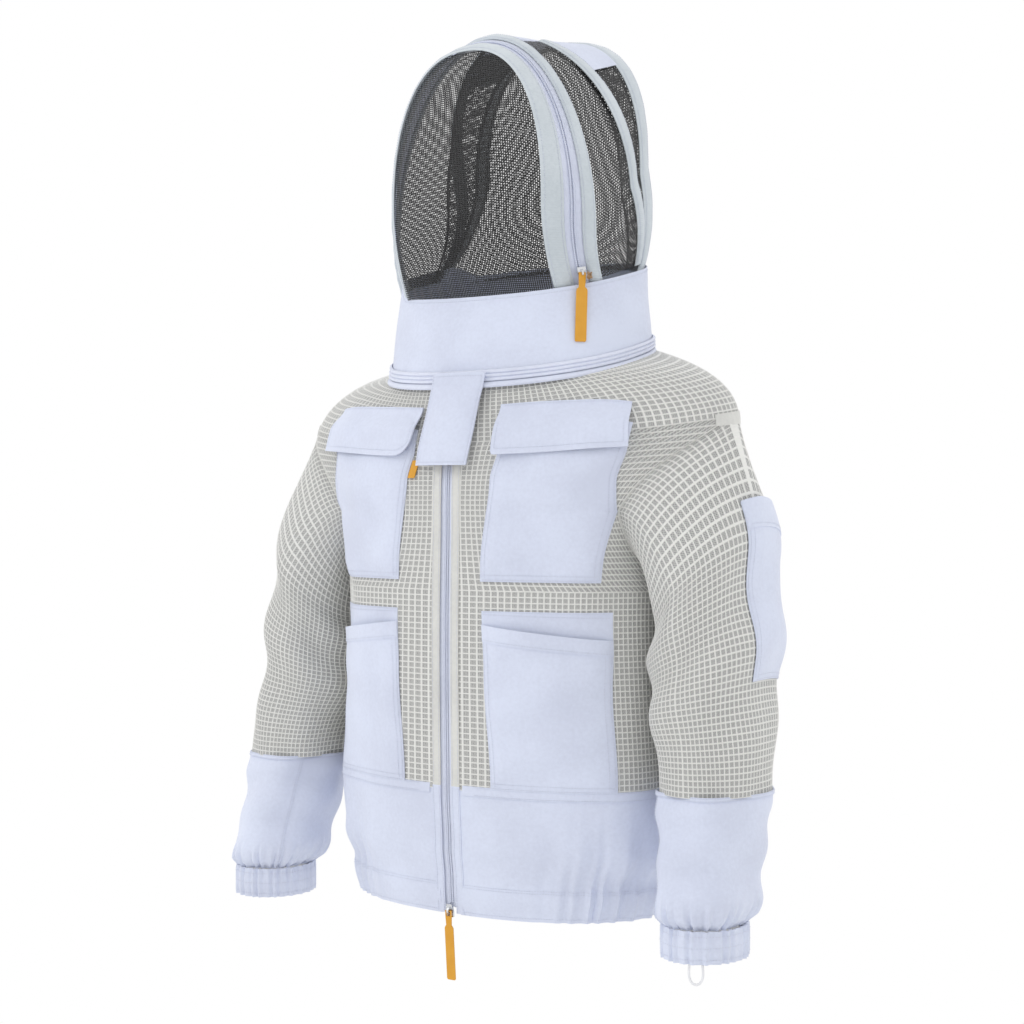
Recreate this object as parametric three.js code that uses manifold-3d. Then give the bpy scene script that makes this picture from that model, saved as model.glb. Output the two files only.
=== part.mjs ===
// Ventilated beekeeping jacket with a zip-on fencing hood.
// Millimetres, +Z up, front faces -Y, the wearer's left is +X.
// The origin is the centre of the neckline, where a wearer or a torso form carries the jacket.
import * as THREE from 'three';
import Module from 'manifold-3d';
import { mergeVertices } from 'three/addons/utils/BufferGeometryUtils.js';

// ---- driving dimensions
const NECK_ABOVE_HEM = 690;      // the origin's height above the hem
const SEAM = 1.2;                // clearance between the edges of neighbouring panels
const MESH_THICK = 4;            // three-layer ventilated fabric
const COTTON = 1.6;              // cotton panel
const NET = 1.2;                 // veil netting, thickened to a solid

// Torso, heights above the hem
const TORSO_CENTRE_Y = 20;
const TORSO_POWER = 2.3;
const TORSO_WIDTH = [[-6, 212], [36, 220], [80, 236], [150, 240], [376, 232], [500, 240]];
const TORSO_DEPTH = [[-6, 129], [36, 132], [80, 137], [150, 141], [376, 143], [500, 141]];
const HEM_LOW = -6;
const HEM_HIGH = 34;
const WAIST_SEAM = 152;
const YOKE_START = 500;
const YOKE_LENGTH = 200;         // rows of the yoke are counted from YOKE_START over this length
const TORSO_RADIUS = 200;        // a round figure, to turn a seam's width into an angle

// How the yoke rounds over: lift and drop steer its curve at the centre (0) and at the shoulder (1)
const YOKE_LIFT = [58, 70];
const YOKE_DROP = [40, 18];
const YOKE_OUT_LOW = 108;        // how far the shoulder pushes the curve out at its foot
const YOKE_OUT_HIGH = 182;       // and near the neck
const YOKE_FORWARD = 9;

// Neckline ring and the collar on it
const NECK = { y: 30, width: 182, depth: 133, height: 690, slope: 0.25 };
const COLLAR_TOP = { y: 38, width: 166, depth: 110, height: 800, slope: 0.27 };

// Armhole and sleeve
const SHOULDER_SHARPNESS = 3;
const ARMPIT = 400;
const SHOULDER_TIP = 600;        // the row of the yoke that carries the shoulder tip
const ARMHOLE_SPREAD = 0.54;     // half angle of the armhole at its widest, in radians
const ARMHOLE_INSET = 4;         // the sleeve's seam ring sits this far inside the hole's edge
const ARMHOLE_SKEW = 1.15;       // over 1 puts the widest place above the middle
const ARMHOLE_ROUNDNESS = 0.75;
const ARMHOLE_RING = 0.95;       // the seam ring's share of the hole's width
const FOREARM_SEAM = 165;
const CUFF_HIGH = 16;
const CUFF_LOW = -22;

// Front zip
const TAPE_HALF = 15;
const COIL_HALF = 3.2;
const ZIP_LOW = 2;
const ZIP_HIGH = 646;
const ZIP_STEPS = 16;
const ZIP_END = 6;               // the coils stop this short of the tapes' ends
const TAPE_IN = [-3.2, -1.8];    // the tapes lie between these depths under the torso's surface
const COIL_IN = [-3.4, -0.6];
const TAPE_CLEAR = 0.4;
const COIL_CLEAR = 0.3;          // each half coil's distance from the centre line

// Hood arches, heights above the hem: the face net's edge, the end of the arch bindings, the back net's edge
const FACE_ARCH = {
  width: 116, side: 886, top: 1086, low: 782, power: 2.3, y: -77, lowY: -48, lowWidth: 115,
};
const MIDDLE_ARCH = {
  width: 156, side: 830, top: 1110, low: 791, power: 1.85, y: -8, lowY: -6, lowWidth: 156,
};
const REAR_ARCH = {
  width: 129, side: 950, top: 1128, low: 818, power: 2.6, y: 146, lowY: 92, lowWidth: 152,
};
const MIDDLE_DEPTH = 0.34;
const ARC_SHARE = 0.72;          // the share of an arch's length that is its round top

// ---- small helpers
const group = new THREE.Group();
group.name = 'beekeeping_jacket';

const PAINT = {
  mesh: { color: 0xdcdcd0, roughness: 0.9, metalness: 0 },
  cotton: { color: 0xe2e5f4, roughness: 0.85, metalness: 0 },
  binding: { color: 0xd3d8de, roughness: 0.8, metalness: 0 },
  net: { color: 0x1b1b1d, roughness: 0.8, metalness: 0 },
  zip: { color: 0xe6e9f5, roughness: 0.45, metalness: 0 },
  metal: { color: 0xc8ccd0, roughness: 0.3, metalness: 1 },
  gold: { color: 0xd9961a, roughness: 0.5, metalness: 0 },
  elastic: { color: 0xeff0f4, roughness: 0.9, metalness: 0 },
  boning: { color: 0xbfc4c9, roughness: 0.5, metalness: 0 },
  hook: { color: 0xe9e9ee, roughness: 0.95, metalness: 0 },
};

const vec = (x, y, z) => new THREE.Vector3(x, y, z);
const up = (height) => height - NECK_ABOVE_HEM;
const mix = (a, b, t) => a + (b - a) * t;
const clamp01 = (t) => Math.min(1, Math.max(0, t));
const smooth = (t) => clamp01(t) ** 2 * (3 - 2 * clamp01(t));

/** A value read from [position, value] pairs, eased between them. */
function along(pairs, position) {
  if (position <= pairs[0][0]) {
    return pairs[0][1];
  }
  for (let i = 1; i < pairs.length; i += 1) {
    const [high, after] = pairs[i];
    const [low, before] = pairs[i - 1];
    if (position <= high) {
      return mix(before, after, smooth((position - low) / (high - low)));
    }
  }
  return pairs[pairs.length - 1][1];
}

/** Sign-keeping power, for superellipse sections. */
const bend = (value, power) => Math.sign(value) * Math.abs(value) ** (2 / power);

/** The corners of a regular polygon that stands for a circle. */
function circle(x, y, radius, sides = 10) {
  const points = [];
  for (let k = 0; k < sides; k += 1) {
    const angle = (k / sides) * 2 * Math.PI;
    points.push([x + radius * Math.cos(angle), y + radius * Math.sin(angle)]);
  }
  return points;
}

/** Adds one closed mesh, turned so that its faces point out. */
function addSolid(name, points, faces, paint) {
  const flat = new Float32Array(points.length * 3);
  points.forEach((p, i) => p.toArray(flat, i * 3));
  let volume = 0;
  for (const [a, b, c] of faces) {
    volume += points[a].dot(points[b].clone().cross(points[c]));
  }
  const index = volume > 0 ? faces.flat() : faces.map(([a, b, c]) => [a, c, b]).flat();
  const geometry = new THREE.BufferGeometry();
  geometry.setAttribute('position', new THREE.BufferAttribute(flat, 3));
  geometry.setIndex(index);
  geometry.computeVertexNormals();
  const mesh = new THREE.Mesh(geometry, new THREE.MeshStandardMaterial(PAINT[paint]));
  mesh.name = name;
  group.add(mesh);
  return mesh;
}

/** A solid between two grids of points; `wrap` joins each row's last point to its first. */
function addBetween(name, outer, inner, wrap, paint) {
  const rows = outer.length;
  const columns = outer[0].length;
  const points = [...outer.flat(), ...inner.flat()];
  const front = (i, j) => i * columns + (j % columns);
  const back = (i, j) => rows * columns + front(i, j);
  const faces = [];
  const quad = (a, b, c, d) => faces.push([a, b, c], [a, c, d]);
  const spans = wrap ? columns : columns - 1;
  for (let i = 0; i < rows - 1; i += 1) {
    for (let j = 0; j < spans; j += 1) {
      quad(front(i, j), front(i, j + 1), front(i + 1, j + 1), front(i + 1, j));
      quad(back(i, j), back(i + 1, j), back(i + 1, j + 1), back(i, j + 1));
    }
  }
  for (let j = 0; j < spans; j += 1) {
    quad(front(0, j + 1), front(0, j), back(0, j), back(0, j + 1));
    quad(front(rows - 1, j), front(rows - 1, j + 1), back(rows - 1, j + 1), back(rows - 1, j));
  }
  if (!wrap) {
    for (let i = 0; i < rows - 1; i += 1) {
      quad(front(i, 0), front(i + 1, 0), back(i + 1, 0), back(i, 0));
      quad(front(i + 1, columns - 1), front(i, columns - 1), back(i, columns - 1), back(i + 1, columns - 1));
    }
  }
  return addSolid(name, points, faces, paint);
}

/** The unit normal of a surface(s, t), pointing away from `inside`. */
function normalOf(surface, s, t, inside) {
  const step = 1e-3;
  const here = surface(s, t);
  const ds = surface(s + step, t).sub(surface(s - step, t));
  const dt = surface(s, t + step).sub(surface(s, t - step));
  const normal = ds.cross(dt).normalize();
  return normal.dot(here.sub(inside(s, t))) < 0 ? normal.negate() : normal;
}

/** A skin on surface(s, t) for s and t in 0..1, from `low` to `high` along its normal. */
function addSkin(name, surface, options) {
  const { columns, rows, low, high, inside, paint, wrap = false } = options;
  const grid = (lift) => {
    const lines = [];
    for (let i = 0; i <= rows; i += 1) {
      const line = [];
      const last = wrap ? columns - 1 : columns;
      for (let j = 0; j <= last; j += 1) {
        const s = j / columns;
        const t = i / rows;
        const height = typeof lift === 'function' ? lift(s, t) : lift;
        line.push(surface(s, t).addScaledVector(normalOf(surface, s, t, inside), height));
      }
      lines.push(line);
    }
    return lines;
  };
  return addBetween(name, grid(high), grid(low), wrap, paint);
}

/** A profile of [out, along] points carried along frames; closed round, or capped at its ends. */
function addSweep(name, frames, profile, closed, paint) {
  const size = profile.length;
  const points = frames.flatMap(({ at, out, rise }) => profile.map(
    ([o, r]) => at.clone().addScaledVector(out, o).addScaledVector(rise, r),
  ));
  const faces = [];
  const spans = closed ? frames.length : frames.length - 1;
  for (let i = 0; i < spans; i += 1) {
    const next = ((i + 1) % frames.length) * size;
    for (let k = 0; k < size; k += 1) {
      const turn = (k + 1) % size;
      faces.push([i * size + k, i * size + turn, next + turn], [i * size + k, next + turn, next + k]);
    }
  }
  if (!closed) {
    const outline = profile.map(([o, r]) => new THREE.Vector2(o, r));
    const last = (frames.length - 1) * size;
    const clockwise = THREE.ShapeUtils.isClockWise(outline);
    for (const [a, b, c] of THREE.ShapeUtils.triangulateShape(outline, [])) {
      const start = clockwise ? [a, b, c] : [c, b, a];
      faces.push(start, start.map((k) => last + k).reverse());
    }
  }
  return addSolid(name, points, faces, paint);
}

// ---- joins
const wasm = await Module();
wasm.setup();
const MERGE_WITHIN = 7.3e-4;

/** A closed geometry as a solid that can be joined or cut. */
function toSolid(geometry) {
  const bare = geometry.clone();
  bare.deleteAttribute('normal');
  bare.deleteAttribute('uv');
  const merged = mergeVertices(bare, MERGE_WITHIN);
  return new wasm.Manifold(new wasm.Mesh({
    numProp: 3,
    vertProperties: new Float32Array(merged.attributes.position.array),
    triVerts: new Uint32Array(merged.index.array),
  }));
}

/** The solid's triangles as a named mesh, placed by a matrix. */
function addJoined(name, solid, matrix, paint) {
  const { vertProperties, triVerts } = solid.getMesh();
  const geometry = new THREE.BufferGeometry();
  geometry.setAttribute('position', new THREE.BufferAttribute(new Float32Array(vertProperties), 3));
  geometry.setIndex(Array.from(triVerts));
  geometry.computeVertexNormals();
  const mesh = new THREE.Mesh(geometry, new THREE.MeshStandardMaterial(PAINT[paint]));
  mesh.name = name;
  mesh.applyMatrix4(matrix);
  group.add(mesh);
}

/** An outline extruded evenly about its own plane. */
function plate(outline, holes, thickness) {
  const shape = new THREE.Shape(outline.map(([x, y]) => new THREE.Vector2(x, y)));
  shape.holes = holes.map((hole) => new THREE.Path(hole.map(([x, y]) => new THREE.Vector2(x, y))));
  const geometry = new THREE.ExtrudeGeometry(shape, { depth: thickness, bevelEnabled: false });
  return geometry.translate(0, 0, -thickness / 2);
}

// ---- torso surface
/** A point on a ring such as the neckline, `angle` counted from the front towards +X. */
function ringPoint(ring, angle, outset = 0) {
  const x = (ring.width + outset) * bend(Math.sin(angle), TORSO_POWER);
  const y = ring.y - (ring.depth + outset) * bend(Math.cos(angle), TORSO_POWER);
  return vec(x, y, up(ring.height + ring.slope * (y - ring.y)));
}

/** The torso's outer surface: `row` is the height above the hem up to the yoke, then runs on to the neck. */
function torsoPoint(angle, row) {
  const side = bend(Math.sin(angle), TORSO_POWER);
  const ahead = bend(Math.cos(angle), TORSO_POWER);
  const level = Math.min(row, YOKE_START);
  const start = vec(
    along(TORSO_WIDTH, level) * side,
    TORSO_CENTRE_Y - along(TORSO_DEPTH, level) * ahead,
    up(level),
  );
  if (row <= YOKE_START) {
    return start;
  }
  const shoulder = Math.abs(Math.sin(angle)) ** SHOULDER_SHARPNESS;
  const end = ringPoint(NECK, angle);
  const lift = mix(...YOKE_LIFT, shoulder);
  const drop = mix(...YOKE_DROP, shoulder);
  const first = start.clone().add(vec(YOKE_OUT_LOW * side * shoulder, 0, lift));
  const second = end.clone().add(vec(YOKE_OUT_HIGH * side * shoulder, -YOKE_FORWARD * ahead, -drop));
  const t = (row - YOKE_START) / YOKE_LENGTH;
  return new THREE.CubicBezierCurve3(start, first, second, end).getPoint(t);
}

/** Half the armhole's opening angle at a row between the armpit and the shoulder tip. */
function armholeHalf(row) {
  const share = clamp01((row - ARMPIT) / (SHOULDER_TIP - ARMPIT));
  return ARMHOLE_SPREAD * Math.max(0, Math.sin(Math.PI * share ** ARMHOLE_SKEW)) ** ARMHOLE_ROUNDNESS;
}

const AXIS_DROP = 60;
/** A point on the torso's axis, a little below height z, that a skin there faces away from. */
const torsoAxis = (z) => vec(0, TORSO_CENTRE_Y, z - AXIS_DROP);

const MESH_LOW_ROW = WAIST_SEAM + SEAM;
const NECK_ROW = YOKE_START + YOKE_LENGTH - 2;

/** A torso panel between two edges, each a function of the row; s runs across, t upwards. */
function torsoPanel(name, edges, rows, options) {
  const surface = (s, t) => {
    const row = mix(rows[0], rows[1], t);
    return torsoPoint(mix(edges[0](row), edges[1](row), s), row);
  };
  const inside = (s, t) => torsoAxis(surface(s, t).z);
  return addSkin(name, surface, { inside, ...options });
}

/** The angle at which the torso's front lies `across` from the centre line, at a row. */
function angleAt(across, row) {
  let low = 0;
  let high = Math.PI / 2;
  for (let i = 0; i < 24; i += 1) {
    const middle = (low + high) / 2;
    if (torsoPoint(middle, row).x < Math.abs(across)) {
      low = middle;
    } else {
      high = middle;
    }
  }
  return Math.sign(across) * low;
}

// ---- body panels
const SIDES = [['left', 1], ['right', -1]];
const sideSeam = (row) => Math.PI / 2 - armholeHalf(row);
const backSeam = (row) => Math.PI / 2 + armholeHalf(row);
const SEAM_ANGLE = SEAM / 2 / TORSO_RADIUS;

function addBodyPanels() {
  const frontEdge = (row) => angleAt(TAPE_HALF + SEAM, row);
  for (const [side, sign] of SIDES) {
    const edges = [(row) => sign * frontEdge(row), (row) => sign * (sideSeam(row) - SEAM_ANGLE)];
    torsoPanel(`front_${side}_mesh_panel`, edges, [MESH_LOW_ROW, NECK_ROW], {
      columns: 8, rows: 14, low: -MESH_THICK, high: 0, paint: 'mesh',
    });
    torsoPanel(`front_${side}_waist_panel`, edges, [HEM_HIGH + SEAM, WAIST_SEAM], {
      columns: 9, rows: 3, low: -COTTON, high: 0, paint: 'cotton',
    });
  }
  const back = [(row) => backSeam(row) + SEAM_ANGLE, (row) => 2 * Math.PI - backSeam(row) - SEAM_ANGLE];
  torsoPanel('back_mesh_panel', back, [MESH_LOW_ROW, NECK_ROW], {
    columns: 16, rows: 14, low: -MESH_THICK, high: 0, paint: 'mesh',
  });
  torsoPanel('back_waist_panel', back, [HEM_HIGH + SEAM, WAIST_SEAM], {
    columns: 18, rows: 3, low: -COTTON, high: 0, paint: 'cotton',
  });
}

// ---- hem
/** Frames round the hem from one side of the front zip, round the back, to the other. */
function hemFrames(steps) {
  const frames = [];
  const start = angleAt(TAPE_HALF + SEAM, HEM_HIGH);
  for (let i = 0; i <= steps; i += 1) {
    const angle = mix(start, 2 * Math.PI - start, i / steps);
    const at = torsoPoint(angle, (HEM_LOW + HEM_HIGH) / 2);
    const ahead = torsoPoint(angle + 0.01, (HEM_LOW + HEM_HIGH) / 2).sub(at);
    const out = vec(ahead.y, -ahead.x, 0).normalize();
    frames.push({ at, out, rise: vec(0, 0, 1) });
  }
  return frames;
}

/** The outline of a casing folded from one strip, open along its inner top edge. */
function foldedCasing(height, width, wall) {
  const half = height / 2;
  return [
    [0, half], [0, -half], [-width, -half], [-width, half * CASING_FOLD],
    [-width + wall, half * CASING_FOLD], [-width + wall, -half + wall], [-wall, -half + wall], [-wall, half],
  ];
}

/** A rectangle as a sweep profile. */
function strip(outFrom, outTo, low, high) {
  return [[outTo, low], [outFrom, low], [outFrom, high], [outTo, high]];
}

const CASING_WALL = 1.4;
const CASING_WIDTH = 8;
const CASING_FOLD = 0.6;         // the folded-in edge reaches this share of half the casing's height
const ELASTIC_IN = [-5.2, -2.8]; // the elastic lies between these depths inside its casing
const ELASTIC_CLEAR = 4;

const HEM_STEPS = 36;

function addHem() {
  const half = (HEM_HIGH - HEM_LOW) / 2;
  const casing = foldedCasing(HEM_HIGH - HEM_LOW, CASING_WIDTH, CASING_WALL);
  const elastic = strip(...ELASTIC_IN, -half + ELASTIC_CLEAR, half - 1.5 * ELASTIC_CLEAR);
  addSweep('hem_casing', hemFrames(HEM_STEPS), casing, false, 'cotton');
  addSweep('hem_elastic', hemFrames(HEM_STEPS), elastic, false, 'elastic');
}

// ---- front zip
/** Frames up the centre front, with the torso's outward direction. */
function zipFrames(low, high) {
  const frames = [];
  for (let i = 0; i <= ZIP_STEPS; i += 1) {
    const row = mix(low, high, i / ZIP_STEPS);
    const at = torsoPoint(0, row);
    const ahead = torsoPoint(0, row + 1).sub(at);
    const out = vec(0, -ahead.z, ahead.y).normalize();
    frames.push({ at, out, rise: vec(1, 0, 0) });
  }
  return frames;
}

/** The row of the yoke that reaches a height above the hem on the centre front. */
function rowAtHeight(height) {
  let low = 0;
  let high = YOKE_START + YOKE_LENGTH;
  for (let i = 0; i < 30; i += 1) {
    const middle = (low + high) / 2;
    if (torsoPoint(0, middle).z < up(height)) {
      low = middle;
    } else {
      high = middle;
    }
  }
  return low;
}

/** A span across the centre line, mirrored to the right side when sign is -1. */
const sided = (sign, near, far) => (sign > 0 ? [near, far] : [-far, -near]);

function addFrontZip() {
  const top = rowAtHeight(ZIP_HIGH);
  for (const [side, sign] of SIDES) {
    const [tapeFrom, tapeTo] = sided(sign, COIL_HALF + TAPE_CLEAR, TAPE_HALF);
    const [coilFrom, coilTo] = sided(sign, COIL_CLEAR, COIL_HALF);
    addSweep(`zip_tape_${side}`, zipFrames(ZIP_LOW, top), strip(...TAPE_IN, tapeFrom, tapeTo), false, 'zip');
    const coilFrames = zipFrames(ZIP_LOW + ZIP_END, top - ZIP_END);
    addSweep(`zip_coil_${side}`, coilFrames, strip(...COIL_IN, coilFrom, coilTo), false, 'zip');
  }
}

// ---- sleeves
// Along a sleeve: 0 is the armhole seam, 1 the seam above the forearm panel.
const ARM_X = [[0, 288], [0.3, 300], [0.6, 304], [1, 322]];
const ARM_Y = [[0, 28], [0.3, 26], [0.6, 16], [1, -11]];
const ARM_WIDE = [[0, 42], [0.3, 58], [0.6, 66], [1, 61]];
const ARM_DEEP = [[0, 98], [0.3, 103], [0.6, 99], [1, 80]];
const ARM_TOP = 512;
const ARM_TILT = 104;
const SLEEVE_POWER = 2.2;
const CUFF = { x: 333, y: -62, wide: 47, deep: 55 };
const SLEEVE_START = 0.012;      // the sleeve's first ring clears the armhole's edge
const SLEEVE_BLEND = 0.32;       // the share over which the seam ring eases into the arm's section
const TILT_FADE = 1.6;
const FOREARM_TAPER = 1.3;
const SLEEVE_COLUMNS = 22;
const CUFF_STEPS = 20;

/** The armhole seam of the left side; turn 0 is the shoulder tip, a quarter the front, a half the armpit. */
function armholePoint(turn) {
  const half = turn <= 0.5 ? turn * 2 : (1 - turn) * 2;
  const row = mix(SHOULDER_TIP - ARMHOLE_INSET, ARMPIT + ARMHOLE_INSET, half);
  const sign = turn <= 0.5 ? -1 : 1;
  return torsoPoint(Math.PI / 2 + sign * armholeHalf(row) * ARMHOLE_RING, row);
}

/** The left upper sleeve's outer surface. */
function sleevePoint(turn, share) {
  const angle = turn * 2 * Math.PI;
  const level = mix(ARM_TOP, FOREARM_SEAM, share);
  const tilt = ARM_TILT * (1 - clamp01(share)) ** TILT_FADE;
  const ring = vec(
    along(ARM_X, share) + along(ARM_WIDE, share) * bend(Math.cos(angle), SLEEVE_POWER),
    along(ARM_Y, share) - along(ARM_DEEP, share) * bend(Math.sin(angle), SLEEVE_POWER),
    up(level + tilt * Math.cos(angle)),
  );
  const seam = armholePoint(turn).add(vec(ARMHOLE_INSET, 0, 0));
  return seam.lerp(ring, smooth(share / SLEEVE_BLEND));
}

/** The left forearm's outer surface, from the forearm seam down to the cuff. */
function forearmPoint(turn, share) {
  const angle = turn * 2 * Math.PI;
  const eased = clamp01(share) ** FOREARM_TAPER;
  const wide = mix(ARM_WIDE.at(-1)[1], CUFF.wide, eased);
  const deep = mix(ARM_DEEP.at(-1)[1], CUFF.deep, eased);
  return vec(
    mix(ARM_X.at(-1)[1], CUFF.x, share) + wide * bend(Math.cos(angle), SLEEVE_POWER),
    mix(ARM_Y.at(-1)[1], CUFF.y, share) - deep * bend(Math.sin(angle), SLEEVE_POWER),
    up(mix(FOREARM_SEAM - SEAM, CUFF_HIGH + SEAM, share)),
  );
}

/** Mirrors a point maker to the wearer's right when sign is -1. */
const mirrored = (sign, point) => (...values) => {
  const p = point(...values);
  p.x *= sign;
  return p;
};

function cuffFrames(sign) {
  const frames = [];
  for (let i = 0; i < CUFF_STEPS; i += 1) {
    const angle = (i / CUFF_STEPS) * 2 * Math.PI;
    const out = vec(sign * Math.cos(angle) / CUFF.wide, -Math.sin(angle) / CUFF.deep, 0).normalize();
    const at = vec(
      sign * (CUFF.x + CUFF.wide * Math.cos(angle)),
      CUFF.y - CUFF.deep * Math.sin(angle),
      up((CUFF_HIGH + CUFF_LOW) / 2),
    );
    frames.push({ at, out, rise: vec(0, 0, 1) });
  }
  return frames;
}

const wrapTurn = (turn) => ((turn % 1) + 1) % 1;

/** The middle of a tube's ring, from any point on it. */
const axisOf = (surface) => (s, t) => surface(s, t).lerp(surface(s + 0.5, t), 0.5);

function addSleeves() {
  const half = (CUFF_HIGH - CUFF_LOW) / 2;
  const casing = foldedCasing(2 * half, CASING_WIDTH, CASING_WALL);
  const elastic = strip(...ELASTIC_IN, -half + ELASTIC_CLEAR, half - 2 * ELASTIC_CLEAR);
  for (const [side, sign] of SIDES) {
    const upper = mirrored(sign, (turn, t) => sleevePoint(wrapTurn(turn), mix(SLEEVE_START, 1, t)));
    const lower = mirrored(sign, forearmPoint);
    const tube = { columns: SLEEVE_COLUMNS, high: 0, wrap: true };
    addSkin(`sleeve_${side}_mesh`, upper, {
      ...tube, rows: 9, low: -MESH_THICK, inside: axisOf(upper), paint: 'mesh',
    });
    addSkin(`forearm_${side}`, lower, {
      ...tube, rows: 3, low: -COTTON, inside: axisOf(lower), paint: 'cotton',
    });
    addSweep(`cuff_${side}_casing`, cuffFrames(sign), casing, true, 'cotton');
    addSweep(`cuff_${side}_elastic`, cuffFrames(sign), elastic, true, 'elastic');
  }
}

// A small pocket on the outside of the left upper arm only.
const SLEEVE_POCKET = { from: -0.14, to: 0.085, low: 0.72, high: 0.33, depth: 11 };
const BAG_BASE = 2.4;            // a pocket's sewn edge stands this far off the faceted cloth
const BAG_STEEPNESS = 4;         // the bag is full a quarter of its width in from each side
const BAG_FOOT = 5;              // and a fifth of its height up from its foot
const BAG_ROUNDNESS = 0.6;

function addSleevePocket() {
  const { from, to, low, high, depth } = SLEEVE_POCKET;
  const surface = (s, t) => sleevePoint(wrapTurn(mix(from, to, s)), mix(low, high, t));
  const inside = (s, t) => vec(along(ARM_X, 0.5), along(ARM_Y, 0.5), surface(s, t).z);
  addBag('sleeve_pocket', surface, inside, { columns: 8, rows: 6, most: depth });
}

/** A patch pocket: one sheet whose bottom and sides meet the cloth and whose mouth stands open. */
function addBag(name, surface, inside, { columns, rows, most, mouth = () => 1 }) {
  const lifted = (extra) => (s, t) => {
    const side = BAG_STEEPNESS * Math.min(s, 1 - s);
    const edge = clamp01(Math.min(side, BAG_FOOT * t)) ** BAG_ROUNDNESS;
    return BAG_BASE + extra + (most - BAG_BASE - COTTON) * edge;
  };
  const cut = (s, t) => surface(s, t * mouth(s));
  const behind = (s, t) => inside(s, t * mouth(s));
  addSkin(name, cut, {
    columns, rows, low: lifted(0), high: lifted(COTTON), inside: behind, paint: 'cotton',
  });
}

// ---- front pockets
const CHEST_POCKET = { inner: 64, outerLow: 202, outerHigh: 218, low: 412, high: 590 };
const CHEST_FLAP = { inner: 60, outerLow: 236, outerHigh: 238, low: 566, high: 628 };
const WAIST_POCKET = { inner: 66, outerLow: 208, outerHigh: 204, low: 156, high: 376 };
const WAIST_MOUTH = [0.92, 0.84]; // the slanted mouth's height at the inner and outer sides
const POCKET_DEPTH = 13;
const LABEL = { inner: 52, outer: 63, low: 540, high: 562, lift: 3, thick: 1.2 };

/** A patch of the torso's front between four across-distances and two heights. */
function frontPatch(sign, { inner, outerLow, outerHigh, low, high }) {
  return (s, t) => {
    const row = mix(rowAtHeight(low), rowAtHeight(high), t);
    const across = mix(inner, mix(outerLow, outerHigh, t), s);
    return torsoPoint(sign * angleAt(across, row), row);
  };
}

/** The point inside the torso that a patch of it faces away from. */
const insideOf = (surface) => (s, t) => torsoAxis(surface(s, t).z);

function addPockets() {
  for (const [side, sign] of SIDES) {
    const chest = frontPatch(sign, CHEST_POCKET);
    addBag(`chest_pocket_${side}`, chest, insideOf(chest), { columns: 8, rows: 7, most: POCKET_DEPTH });
    const waist = frontPatch(sign, WAIST_POCKET);
    addBag(`waist_pocket_${side}`, waist, insideOf(waist), {
      columns: 8, rows: 8, most: POCKET_DEPTH, mouth: (s) => mix(...WAIST_MOUTH, s),
    });
  }
}

// ---- pocket flaps, patches and label
const FLAP_LIFT = POCKET_DEPTH + 3;
const FLAP_SEWN = 3;
const FLAP_BEND = 0.55;          // above this share of its height the flap turns in to its seam
// The hook and loop patches, as shares of the flap's width and height
const PATCH_ACROSS = [0.36, 0.6];
const PATCH_HIGH = [0.12, 0.34];
const HOOK_UNDER = [1.4, 0.3];   // the hook patch lies between these depths under the flap
const LOOP_OVER = [0.2, 1.2];    // the loop patch lies between these heights over the pocket

/** A flap sewn along its top edge; it stands clear of the bag below it. */
function addFlap(name, surface, inside) {
  const base = (s, t) => mix(FLAP_LIFT, FLAP_SEWN, smooth((t - FLAP_BEND) / (1 - FLAP_BEND)));
  addSkin(name, surface, {
    columns: 8, rows: 5, low: base, high: (s, t) => base(s, t) + COTTON, inside, paint: 'cotton',
  });
}

function addFlaps() {
  for (const [side, sign] of SIDES) {
    const surface = frontPatch(sign, CHEST_FLAP);
    addFlap(`chest_flap_${side}`, surface, insideOf(surface));
    const patch = (s, t) => surface(mix(...PATCH_ACROSS, s), mix(...PATCH_HIGH, t));
    const shape = { columns: 2, rows: 1, inside: insideOf(patch), paint: 'hook' };
    addSkin(`flap_hook_patch_${side}`, patch, {
      ...shape, low: FLAP_LIFT - HOOK_UNDER[0], high: FLAP_LIFT - HOOK_UNDER[1],
    });
    addSkin(`pocket_loop_patch_${side}`, patch, {
      ...shape, low: POCKET_DEPTH + LOOP_OVER[0], high: POCKET_DEPTH + LOOP_OVER[1],
    });
  }
  const label = frontPatch(-1, { ...LABEL, outerLow: LABEL.outer, outerHigh: LABEL.outer });
  const top = LABEL.lift + LABEL.thick;
  addSkin('pocket_label', label, {
    columns: 1, rows: 1, low: LABEL.lift, high: top, inside: insideOf(label), paint: 'gold',
  });
}

// ---- collar and neck zip
/** A point on the band between two rings; `share` is 0 at the neckline and 1 at the collar's top. */
function collarPoint(angle, share, outset = 0) {
  return ringPoint(NECK, angle, outset).lerp(ringPoint(COLLAR_TOP, angle, outset), share);
}

/** Frames round the neckline from one side of the front opening, round the back, to the other. */
function neckFrames() {
  const frames = [];
  for (let i = 0; i <= NECK_STEPS; i += 1) {
    const angle = mix(NECK_ZIP_GAP, 2 * Math.PI - NECK_ZIP_GAP, i / NECK_STEPS);
    const at = collarPoint(angle, 0);
    const ahead = collarPoint(angle + 0.01, 0).sub(at);
    const rise = collarPoint(angle, 0.1).sub(at).normalize();
    const out = ahead.cross(rise).normalize();
    frames.push({ at, out, rise });
  }
  return frames;
}

const COLLAR_LOW_SHARE = 0.1;
const COLLAR_OUTSET = 4;
const NECK_STEPS = 36;
const NECK_ZIP_GAP = 0.012;      // the neck zip's ends stop this angle short of the centre front
// The neck zip's sections: depth from, depth to, height from, height to
const LOWER_COIL = [0.4, 3, 1.2, 4];
const UPPER_COIL = [0.4, 3, 4.6, 7.4];
const UPPER_TAPE = [-0.6, 0.8, 8, 24];

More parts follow.
